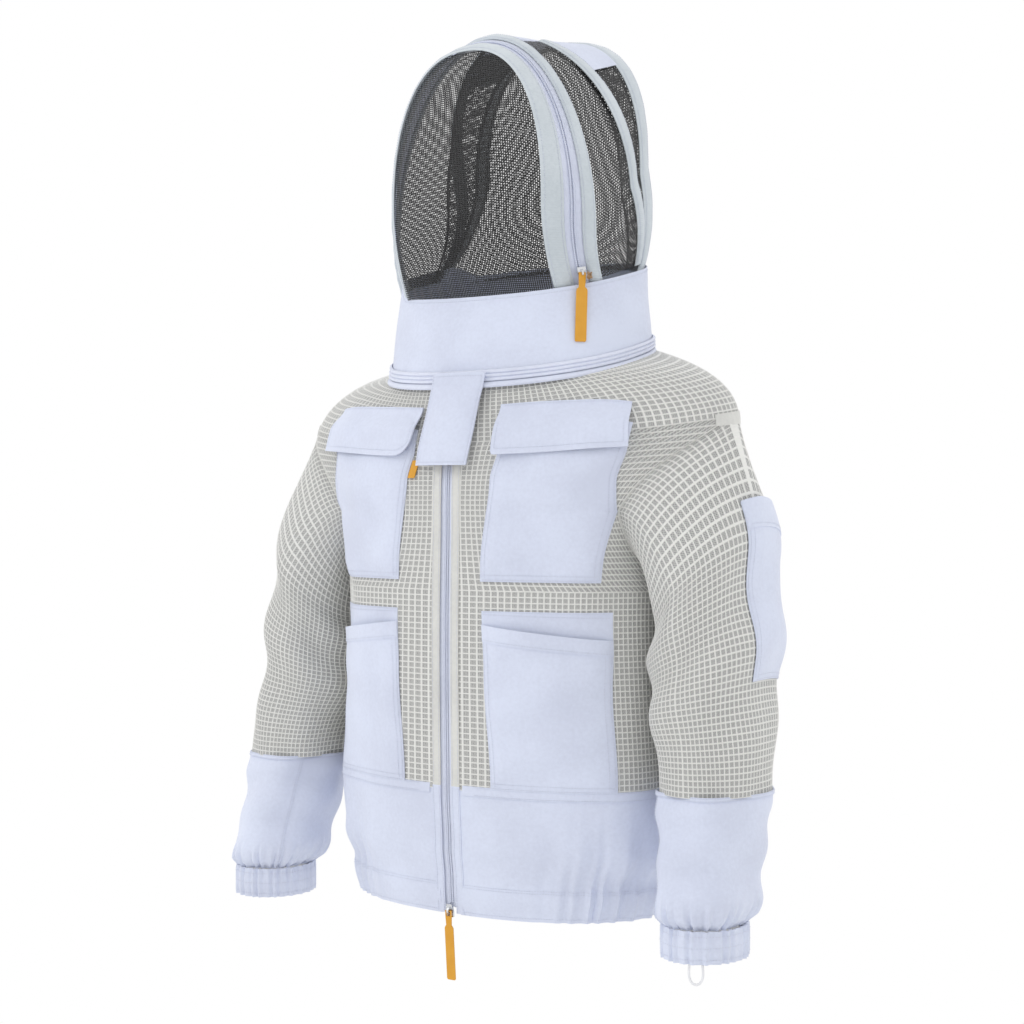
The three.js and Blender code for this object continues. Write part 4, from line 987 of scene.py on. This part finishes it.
def add_forearm(side, sign):
    body = f"sleeve_{side}"
    arm, band = partial(forearm, sign), partial(cuff, sign)
    seam = part_of(arm, along=(-0.012, 0.022))
    sew(f"forearm_{side}_cloth", arm, (150, 60), COTTON, "white_cotton", body, f"forearm_{side}", "gathered",
        1.1, wrap=True)
    sew(f"forearm_seam_{side}", seam, (110, 2), FOLDED, "white_cotton", body, wrap=True, under=0.0012)
    stitch_rows(body, seam, (0.2, 0.8), 0.0025, (0, 1), 300)
    stitch_columns(body, arm, (0.37, 0.378), 0.0012, (0.02, 0.98), 200)
    sew(f"cuff_{side}_cloth", band, (200, 10), 0.0015, "white_cotton", body, f"cuff_{side}_casing",
        "gathered", 1.3, wrap=True)
    inner = part_of(band, along=(0.25, 0.8), out=-0.005)
    sew(f"cuff_{side}_elastic_band", inner, (120, 2), FOLDED, "elastic", body, f"cuff_{side}_elastic", None,
        wrap=True)
    stitch_rows(body, band, (0.16, 0.5, 0.86), 0.0016, (0, 1), 360)


# ---- pockets
CHEST_POCKET = {
    1: {"inner": 0.064, "outer_low": 0.206, "outer_high": 0.222, "low": 0.412, "high": 0.600, "drop": 0.012},
    -1: {"inner": 0.064, "outer_low": 0.200, "outer_high": 0.240, "low": 0.412, "high": 0.600, "drop": 0.012},
}
CHEST_FLAP = {
    1: {"inner": 0.060, "outer_low": 0.222, "outer_high": 0.216, "low": 0.566, "high": 0.628, "drop": 0.022},
    -1: {"inner": 0.060, "outer_low": 0.246, "outer_high": 0.240, "low": 0.566, "high": 0.628, "drop": 0.020},
}
WAIST_POCKET = {
    1: {"inner": 0.066, "outer_low": 0.210, "outer_high": 0.216, "low": 0.156, "high": 0.376, "drop": 0.0},
    -1: {"inner": 0.066, "outer_low": 0.208, "outer_high": 0.204, "low": 0.156, "high": 0.376, "drop": 0.0},
}
# How far the worn front hangs toward the wearer's left, by height
LEFTWARD = [(0.156, 0.0), (0.300, -0.009), (0.376, -0.012), (0.430, -0.012), (0.530, 0.0), (0.572, 0.009),
            (0.630, 0.012)]
PATCH_ACROSS = (0.36, 0.60)
HOOK_HIGH = (0.12, 0.34)
LOOP_HIGH = (0.84, 0.93)
WAIST_MOUTH = (0.92, 0.84)
FACING_DEEP = 0.06
BAG_DEPTH = 0.0085
HELD_DOWN = 0.0016               # how far a pocket's sewn edges stand off the cloth
FLAP_CORNER = {1: 0.004, -1: 0.030}
FLAP_STAND = (0.0130, 0.0030)


def front_patch(sign, box):
    rows = (row_at(box["low"]), row_at(box["high"]))

    def surface(s, t, lift=0.0):
        row = mix(*rows, t) - box["drop"] * s ** 2 * t
        across = mix(box["inner"], mix(box["outer_low"], box["outer_high"], t), s)
        across = sign * across + eased(LEFTWARD, mix(box["low"], box["high"], t))
        return torso(angle_at(across, np.clip(row, 0, 0.69)), row, lift)
    return surface


def bag_lift(s, t, most):
    """A patch pocket is held down along its sides and foot, and stands off in between."""
    edge = np.clip(np.minimum(np.minimum(7 * s, 7 * (1 - s)), 9 * t), 0, 1) ** 0.6
    sag = 0.0012 * np.sin(9 * s + 5 * t) * edge + 0.0009 * np.sin(17 * t - 6 * s) * edge
    return HELD_DOWN + (most - HELD_DOWN) * edge * (0.45 + 0.55 * smooth(t * 1.2)) + sag


def add_pocket(name, patch, most, body, mouth=lambda s: 1.0):
    """A patch pocket with a turned hem at its mouth and two rows of stitches round it."""
    def bag(s, t, lift=0.0):
        return patch(s, t * mouth(s), bag_lift(s, t, most) + lift)

    sew(f"{name}_cloth", bag, (56, 64), 0.0011, "white_cotton", body, name, "hung")
    hem = part_of(bag, along=(0.90, 1.004), out=0.0010)
    sew(f"{name}_mouth_hem", hem, (56, 4), FOLDED, "white_cotton", body, None, "folded")
    for inset in (0.014, 0.05):
        stitch_columns(body, bag, (inset, 1 - inset), 0.0012, (0.02, 0.98), 220)
        stitch_rows(body, bag, [inset * 0.8], 0.0012, (0.02, 0.98), 220)
    stitch_rows(body, hem, [0.14], 0.0013, (0.02, 0.98), 220)


def slanted_mouth(s):
    return mix(*WAIST_MOUTH, s)


def add_front_pockets(side, sign):
    chest, waist = front_patch(sign, CHEST_POCKET[sign]), front_patch(sign, WAIST_POCKET[sign])
    add_pocket(f"chest_pocket_{side}", chest, BAG_DEPTH, "jacket")
    loops = part_of(chest, PATCH_ACROSS, LOOP_HIGH, BAG_DEPTH + 0.0035)
    sew(f"pocket_loops_{side}", loops, (10, 4), 0.0008, "hook_tape", "jacket", f"pocket_loop_patch_{side}")
    add_pocket(f"waist_pocket_{side}", waist, BAG_DEPTH, "jacket", slanted_mouth)

    def facing(s, t, lift=0.0):
        return waist(s, mix(slanted_mouth(s) - FACING_DEEP, 1.0, t), lift + 0.0014)

    sew(f"waist_pocket_facing_{side}", facing, (40, 12), COTTON, "white_cotton", "jacket", held="hung")
    stitch_rows("jacket", facing, (0.86, 0.96), 0.0011, count=220)


def add_flap(side, sign):
    """A doubled flap with one rounded lower corner, sewn down along its top."""
    box = CHEST_FLAP[sign]
    patch = front_patch(sign, box)
    wide, tall = box["outer_low"] - box["inner"], box["high"] - box["low"]
    corner = FLAP_CORNER[sign]

    def flap(s, t, lift=0.0):
        short = np.clip(corner - s * wide, 0, corner)
        raised = corner - np.sqrt(np.maximum(corner ** 2 - short ** 2, 0))
        level = mix(raised / tall, 1.0, t)
        stand = mix(*FLAP_STAND, smooth((level - 0.45) / 0.5)) + 0.0012 * np.sin(8 * s + 1) * (1 - level)
        return patch(s, level, stand + lift)

    body = f"chest_flap_{side}"
    piece = sew(f"{body}_cloth", flap, (72, 26), 0.0020, "white_cotton", None, body, "hung")
    tuple(flap(0.5, 0.97))
    tuple(flap(0.5, 0.62))
    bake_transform(piece)
    stitch_rows(body, flap, [0.10], 0.0021, (0.03, 0.97))
    stitch_rows("jacket", flap, [0.965], 0.0021, (0.03, 0.97))
    stitch_columns(body, flap, (0.03, 0.97), 0.0021, (0.10, 0.60), 60)
    hooks = part_of(flap, PATCH_ACROSS, HOOK_HIGH, -0.0010)
    sew(f"flap_hooks_{side}", hooks, (10, 4), COTTON, "hook_tape", body, f"flap_hook_patch_{side}")


# ---- neck tab
TAB_HALF = 0.039
TAB_HEIGHTS = (0.671, 0.556)
TAB_START = 0.013                # its top's place to the wearer's left, and how far its foot leans from there
TAB_LEAN = -0.018
TAB_OFF = 0.012                  # how far it hangs off the body


def add_neck_tab():
    """A doubled tab that hangs from the collar over the zip's top; its foot leans to the wearer's right."""
    top_y = float(collar(np.array(0.0), np.array(0.14))[1])
    rows = np.linspace(0.5, 0.7, 60)
    row_heights = torso(np.zeros(60), rows)[:, 2] + NECK_HEIGHT

    def tab(s, t, lift=0.0):
        height = mix(*TAB_HEIGHTS, t)
        row = np.interp(np.minimum(height, 0.655), row_heights, rows)
        body_y = torso(0 * s, row)[..., 1] - TAB_OFF
        y = mix(top_y, body_y, smooth((TAB_HEIGHTS[0] - height) / 0.060))
        across = mix(-TAB_HALF, TAB_HALF, s)
        dip = 5.0 * across ** 2
        y = np.minimum(y, body_y) - 0.0030 + dip - lift + 0.0008 * np.sin(60 * across + 9 * t)
        return stack(across + TAB_START + TAB_LEAN * np.asarray(t), y, up(height))

    sew("neck_tab_cloth", tab, (36, 44), 0.0021, "white_cotton", "neck_tab", "neck_tab", "hung")
    for stitch in (stitch_rows, stitch_columns):
        stitch("neck_tab", tab, (0.035, 0.965), 0.0022, (0.03, 0.97), 150)


def clothe_jacket():
    add_body_panels()
    add_seams()
    add_hem()
    add_front_zip()
    for side, sign in SIDES:
        add_upper_sleeve(side, sign)
        add_forearm(side, sign)
        add_front_pockets(side, sign)
        add_flap(side, sign)
    add_neck_tab()
    patch = part_of(partial(sleeve, 1), SLEEVE_POCKET["turns"], SLEEVE_POCKET["shares"])
    add_pocket("sleeve_pocket", patch, 0.007, "sleeve_left")


# ---- collar and neck zip
COLLAR_LOW = 0.10
ZIP_RIDGE = 0.0021
AROUND = 190                     # columns round the collar


def round_collar(s, t, lift=0.0):
    return collar(TURN * s, t, lift)


def add_collar():
    band = part_of(round_collar, along=(COLLAR_LOW, 1.0), out=0.0032)
    sew("collar_cloth", band, (AROUND, 24), COTTON, "white_cotton", "hood", "collar_band", "hung", wrap=True)
    stitch_rows("hood", band, [0.955], 0.0011, (0, 1), 480)

    def tape(s, t, lift=0.0):
        ridge = ZIP_RIDGE * np.abs(np.sin(3 * HALF_TURN * np.clip(t, 0, 1))) ** 0.7
        return round_collar(s, mix(0.035, 0.165, t), 0.0055 + ridge + lift)

    def welt(s, t, lift=0.0):
        return round_collar(s, mix(-0.035, 0.028, t), 0.0060 + ZIP_RIDGE * swell(t) + lift)

    sew("neck_zip_tape", tape, (AROUND, 24), 0.0011, "white_zip", "hood", "neck_zip_upper_tape", "laid",
        wrap=True)
    sew("neckline_binding", welt, (AROUND, 8), FOLDED, "white_zip", "jacket", held=None, wrap=True)
    angle = np.linspace(0.014, TURN - 0.014, 400)
    for part, body, share, phase in (("lower", "jacket", 0.022, 0.0), ("upper", "hood", 0.055, 0.5)):
        line = collar(angle, np.full(len(angle), share), 0.0020)
        dress(zip_coil(f"neck_zip_{part}_teeth", line, 0.0019, phase), body, f"neck_zip_{part}_coil")


# ---- hood; depths run from the face arch to the rear one
OUTER_STRIP = (0.25, MIDDLE_DEPTH)
FACE_STRIP = (-0.02, 0.13)
ZIP_DEPTH = 0.19
REAR_STRIP = (0.93, 1.04)
CROWN_HALF = 0.13
GORE_END = 0.33                  # the crown's white gores reach this far down behind the side bands
FOOT = 1.035                     # the strips' ends go down inside the collar
SIDE_BAND_HALF = 0.045
DOUBLED_TOP = 0.16               # where the doubled net starts beside the crown
NET_SEAM_WIDTH = 0.018
NET_WIDE = 0.985                 # of its arch
NET_HIGH = 0.08
HOOP_RADIUS = 0.002


def tunnel_patch(from_t, to_t, near, far, shape=None):
    """A surface(s, t, lift) of the hood: s runs over the arch, t from its front edge to its back one.
    Each edge is a depth, or a function of the place on the arch."""
    def surface(s, t, lift=0.0):
        over = mix(from_t, to_t, s)
        edges = [edge(over) if callable(edge) else edge + 0 * over for edge in (near, far)]
        return tunnel(over, mix(*edges, t), lift + (shape(s, t) if shape else 0.0))
    return surface


def rolled(s, t):
    """A strip folded over a hoop: full in the middle, with a turned edge at each side."""
    return 0.0004 + 0.0026 * swell(t) ** 0.6 + 0.0004 * np.sin(150 * s) * swell(t)


def add_arch_strip(name, node, depths, body, rows=10, levels=(0.14, 0.86)):
    strip = tunnel_patch(-FOOT, FOOT, *depths, rolled)
    sew(name, strip, (260, rows), COTTON, "binding", body, node, "folded")
    stitch_rows(body, strip, levels, 0.0012, (0.004, 0.996), 560)


def arch_line(reach, depth, lift, count):
    return tunnel(np.linspace(-reach, reach, count), np.full(count, depth), lift)


def add_veil_zip():
    for part, body, depth, edges, phase in (
        ("outer", "hood", ZIP_DEPTH + 0.010, (ZIP_DEPTH, OUTER_STRIP[0] + 0.006), 0.0),
        ("inner", "face_veil", ZIP_DEPTH - 0.010, (FACE_STRIP[1] - 0.006, ZIP_DEPTH), 0.5),
    ):
        coil = zip_coil(f"veil_zip_{part}_teeth", arch_line(0.98, depth, 0.0006, 400), 0.0017, phase)
        dress(coil, body, f"veil_zip_{part}_coil")
        sew(f"veil_zip_{part}_tape", tunnel_patch(-FOOT, FOOT, *edges), (260, 3), 0.0009, "white_zip", body,
            under=-0.0016)


def add_hoops():
    for name, node, depth, inset, body in (("outer_hoop_rod", "outer_arch_hoop", 0.30, 0.0030, "hood"),
                                           ("face_hoop_rod", "face_hoop", 0.06, 0.0034, "face_veil")):
        dress(tube(name, arch_line(0.99, depth, -inset, 160), HOOP_RADIUS, "boning"), body, node)


def run_lengths(points):
    """UVs in metres: the distance run along each row and each column."""
    across = np.linalg.norm(np.diff(points, axis=1), axis=-1)
    down = np.linalg.norm(np.diff(points, axis=0), axis=-1)
    u = np.concatenate([np.zeros((points.shape[0], 1)), np.cumsum(across, 1)], 1)
    v = np.concatenate([np.zeros((1, points.shape[1])), np.cumsum(down, 0)], 0)
    return np.stack([u - u.mean(1, keepdims=True), v], -1)


def add_net(name, surface, grid, material, body, node=None, axes=None):
    """A net; its UVs follow two axes, or else the distance run over it."""
    points = surface_points(surface, *grid)
    net = sheet_mesh(name, points, material, points[..., axes] if axes else run_lengths(points))
    dress(net, body, node, surface)


def closing_net(arch, side, slack):
    """The net that closes an arch, standing off by `slack` where it is loose."""
    def surface(s, t, lift=0.0):
        across = mix(-NET_WIDE, NET_WIDE, s)
        return arch_net(arch, side, across, mix(1.0, NET_HIGH, t), lift + slack(across, t) * swell(t))
    return surface


def side_band_depth(t):
    """The side band's middle: it slants back from the crown and ends in front of the rear band."""
    t = np.abs(t)
    return 0.485 + 0.485 * t - 0.9 * np.maximum(0, t - 0.72) ** 2


def moved(edge, offset):
    """An edge moved toward the rear."""
    return lambda t: edge(t) + offset


def lining_edge(t):
    """The front edge of the doubled net behind each side band."""
    low = smooth((np.abs(t) - 0.45) / 0.35)
    return side_band_depth(t) - SIDE_BAND_HALF - 0.006 - 0.095 * low


def add_side(side, sign):
    def fold(s, t):
        return 0.0016 * np.sin(7 * s + 5 * t) * swell(t)

    veil = tunnel_patch(sign * CROWN_HALF, sign, OUTER_STRIP[1] - 0.01, REAR_STRIP[0] + 0.01, fold)
    add_net(f"side_net_{side}", veil, (70, 40), "black_net", "hood", f"side_veil_{side}")
    edges = [moved(side_band_depth, offset) for offset in (-SIDE_BAND_HALF, SIDE_BAND_HALF)]
    band = tunnel_patch(sign * CROWN_HALF, sign, *edges, rolled)
    sew(f"side_band_{side}_cloth", band, (120, 6), COTTON, "binding", "hood", f"side_band_{side}", "folded",
        under=0.0006)
    stitch_rows("hood", band, (0.16, 0.84), 0.0018)
    doubled = tunnel_patch(sign * DOUBLED_TOP, sign, lining_edge, REAR_STRIP[0], fold)
    add_net(f"doubled_net_{side}", part_of(doubled, out=-0.0022), (70, 24), "net_strip", "hood")
    for number, edge in enumerate((lining_edge, lambda t: REAR_STRIP[0] - 0.012 + 0 * t)):
        strip = tunnel_patch(sign * DOUBLED_TOP, sign, edge, moved(edge, NET_SEAM_WIDTH), fold)
        sew(f"net_seam_{side}_{number}", strip, (90, 2), 0.0006, "black_tape", "hood", held=None,
            under=-0.0034)
    gore = tunnel_patch(sign * (CROWN_HALF - 0.01), sign * GORE_END, side_band_depth, REAR_STRIP[0] + 0.01)
    sew(f"crown_gore_{side}", gore, (24, 24), COTTON, "white_cotton", "hood", held="stretched", under=0.0012)


def add_crown():
    def puff(s, t):
        return 0.0014 * np.sin(11 * s + 4 * t) * swell(t)

    crown = tunnel_patch(-CROWN_HALF, CROWN_HALF, OUTER_STRIP[1], REAR_STRIP[0], puff)
    sew("crown_cloth", crown, (60, 40), COTTON, "white_cotton", "hood", "crown_panel", "stretched")
    stitch_columns("hood", crown, (0.03, 0.97), 0.0012, count=220)
    stitch_rows("hood", crown, (0.04, 0.96), 0.0012, count=160)


def clothe_hood():
    add_collar()
    add_arch_strip("face_arch_strip", "face_binding", FACE_STRIP, "face_veil")
    add_arch_strip("outer_arch_strip", "outer_arch_binding", OUTER_STRIP, "hood")
    add_arch_strip("rear_arch_strip", "rear_band", REAR_STRIP, "hood", 8, (0.16, 0.84))
    add_veil_zip()
    add_hoops()
    face = closing_net(FACE_ARCH, -1, lambda across, t: 0.0022 * np.sin(5 * across + 3 * t))
    add_net("face_net", face, (60, 60), "face_net", "face_veil", "face_mesh", axes=(0, 2))
    back = closing_net(REAR_ARCH, 1, lambda across, t: 0.003 * np.sin(6 * across + 4 * t))
    add_net("back_net", back, (60, 60), "black_net", "hood", "back_veil")
    rear = part_of(tunnel_patch(-0.99, 0.99, *REAR_STRIP), out=-0.0012)
    add_net("rear_band_lining", rear, (160, 8), "net_strip", "hood")
    for side, sign in SIDES:
        add_side(side, sign)
    add_crown()


# ---- hardware
LABEL = {"inner": 0.052, "outer_low": 0.063, "outer_high": 0.063, "low": 0.540, "high": 0.562, "drop": 0.0}
KEPT_NODES = {
    "slider_metal": ["front_upper_slider", "front_lower_slider", "veil_slider"],
    "gold_pull": ["front_upper_pull", "front_lower_pull"],
    "hook_tape": ["tab_hook_patch"],
}
# The veil's pull: half widths at distances below its pivot
PULL_OUTLINE = [(0.0046, -0.0007), (0.0046, 0.0080), (0.0040, 0.0180), (0.0066, 0.0205), (0.0073, 0.0230),
                (0.0073, 0.0865), (0.0060, 0.0880)]
PULL_THICK = 0.0012
PULL_OUT = 0.17                  # how far it leans out over the collar
PULL_ASIDE = -0.08
PULL_FACES = (0.757, -0.654, 0.0)
KNOT_TURNS = 3
KNOT_RADIUS = 0.0030
KNOT_CORD = 0.0011


def paint_kept_nodes():
    for material, names in KEPT_NODES.items():
        for name in names:
            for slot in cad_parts[name].material_slots:
                slot.material = MATERIALS[material]


def add_veil_pull():
    """The veil's pull, hanging plumb from its slider rather than along the slanted zip."""
    low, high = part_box("veil_slider")
    out = unit(np.array(PULL_FACES))
    aside = np.array([-out[1], out[0], 0.0])
    down = unit(np.array([0, 0, -1.0]) + PULL_OUT * out + PULL_ASIDE * aside)
    face = unit(np.cross(aside, down))
    pivot = (np.array(low) + np.array(high)) / 2 + out * 0.0030
    pivot[2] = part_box("veil_pull")[1].z - 0.0010
    outline = PULL_OUTLINE + [(-half, below) for half, below in reversed(PULL_OUTLINE)]
    rim = np.array([pivot + aside * half + down * below for half, below in outline])
    count = len(rim)
    faces = []
    for k in range(count // 2 - 1):
        front = (k, k + 1, count - 2 - k, count - 1 - k)
        faces += [front, tuple(count + n for n in reversed(front))]
    for k in range(count):
        after = (k + 1) % count
        faces.append((after, k, count + k, count + after))
    points = np.concatenate([rim + face * PULL_THICK / 2, rim - face * PULL_THICK / 2])
    dress(add_closed_mesh("veil_pull_plate", points, faces, "gold_pull", False), "veil_pull", "veil_pull")


def add_knot(node):
    """A small cord tied round the slider's loop and through the pull's slot."""
    low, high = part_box(node)
    turns = np.linspace(0, KNOT_TURNS * TURN, 90)
    ring = KNOT_RADIUS + 0.0008 * np.cos(turns * 0.31)
    line = np.stack([(low.x + high.x) / 2 + ring * np.cos(turns) * 0.8,
                     (low.y + high.y) / 2 + ring * np.sin(turns) * 0.55,
                     high.z - 0.008 + turns / turns[-1] * 0.007 + 0.0012 * np.sin(2 * turns)], 1)
    dress(tube(f"knot_{node}", line, KNOT_CORD, "knot_cord"), node)


def add_hardware():
    paint_kept_nodes()
    label = part_of(front_patch(-1, LABEL), out=0.0030)
    sew("label_cloth", label, (8, 12), 0.0011, "gold_pull", "jacket", "pocket_label", "folded")
    add_veil_pull()
    for node in ("front_upper_pull", "front_lower_pull", "veil_pull"):
        add_knot(node)


# ---- studio
LIT_HEIGHT = 0.55                # the height above the hem that every light points at
LIGHTS = [
    ("key", (-1.8, -2.2, 1.6), 16, 1.2),
    ("fill", (2.6, -1.2, 0.9), 3, 2.2),
    ("rim", (0.6, 2.6, 1.6), 6, 1.8),
]


def add_light(name, place_at, power, size):
    data = bpy.data.lights.new(name, "AREA")
    data.energy = power
    data.size = size
    light = bpy.data.objects.new(name, data)
    light.location = place_at
    aim = Vector((0, 0, up(LIT_HEIGHT))) - Vector(place_at)
    light.rotation_euler = aim.to_track_quat("-Z", "Y").to_euler()
    bpy.context.collection.objects.link(light)


def add_studio():
    world = bpy.data.worlds.new("studio")
    world.use_nodes = True
    background = world.node_tree.nodes["Background"]
    background.inputs["Color"].default_value = (1.0, 1.0, 1.0, 1)
    background.inputs["Strength"].default_value = 1.0
    bpy.context.scene.world = world
    bpy.context.scene.view_settings.view_transform = "Standard"
    for light in LIGHTS:
        add_light(*light)


add_camera()
add_thumb_loop()
clothe_jacket()
clothe_hood()
add_hardware()
add_stitches()
add_studio()
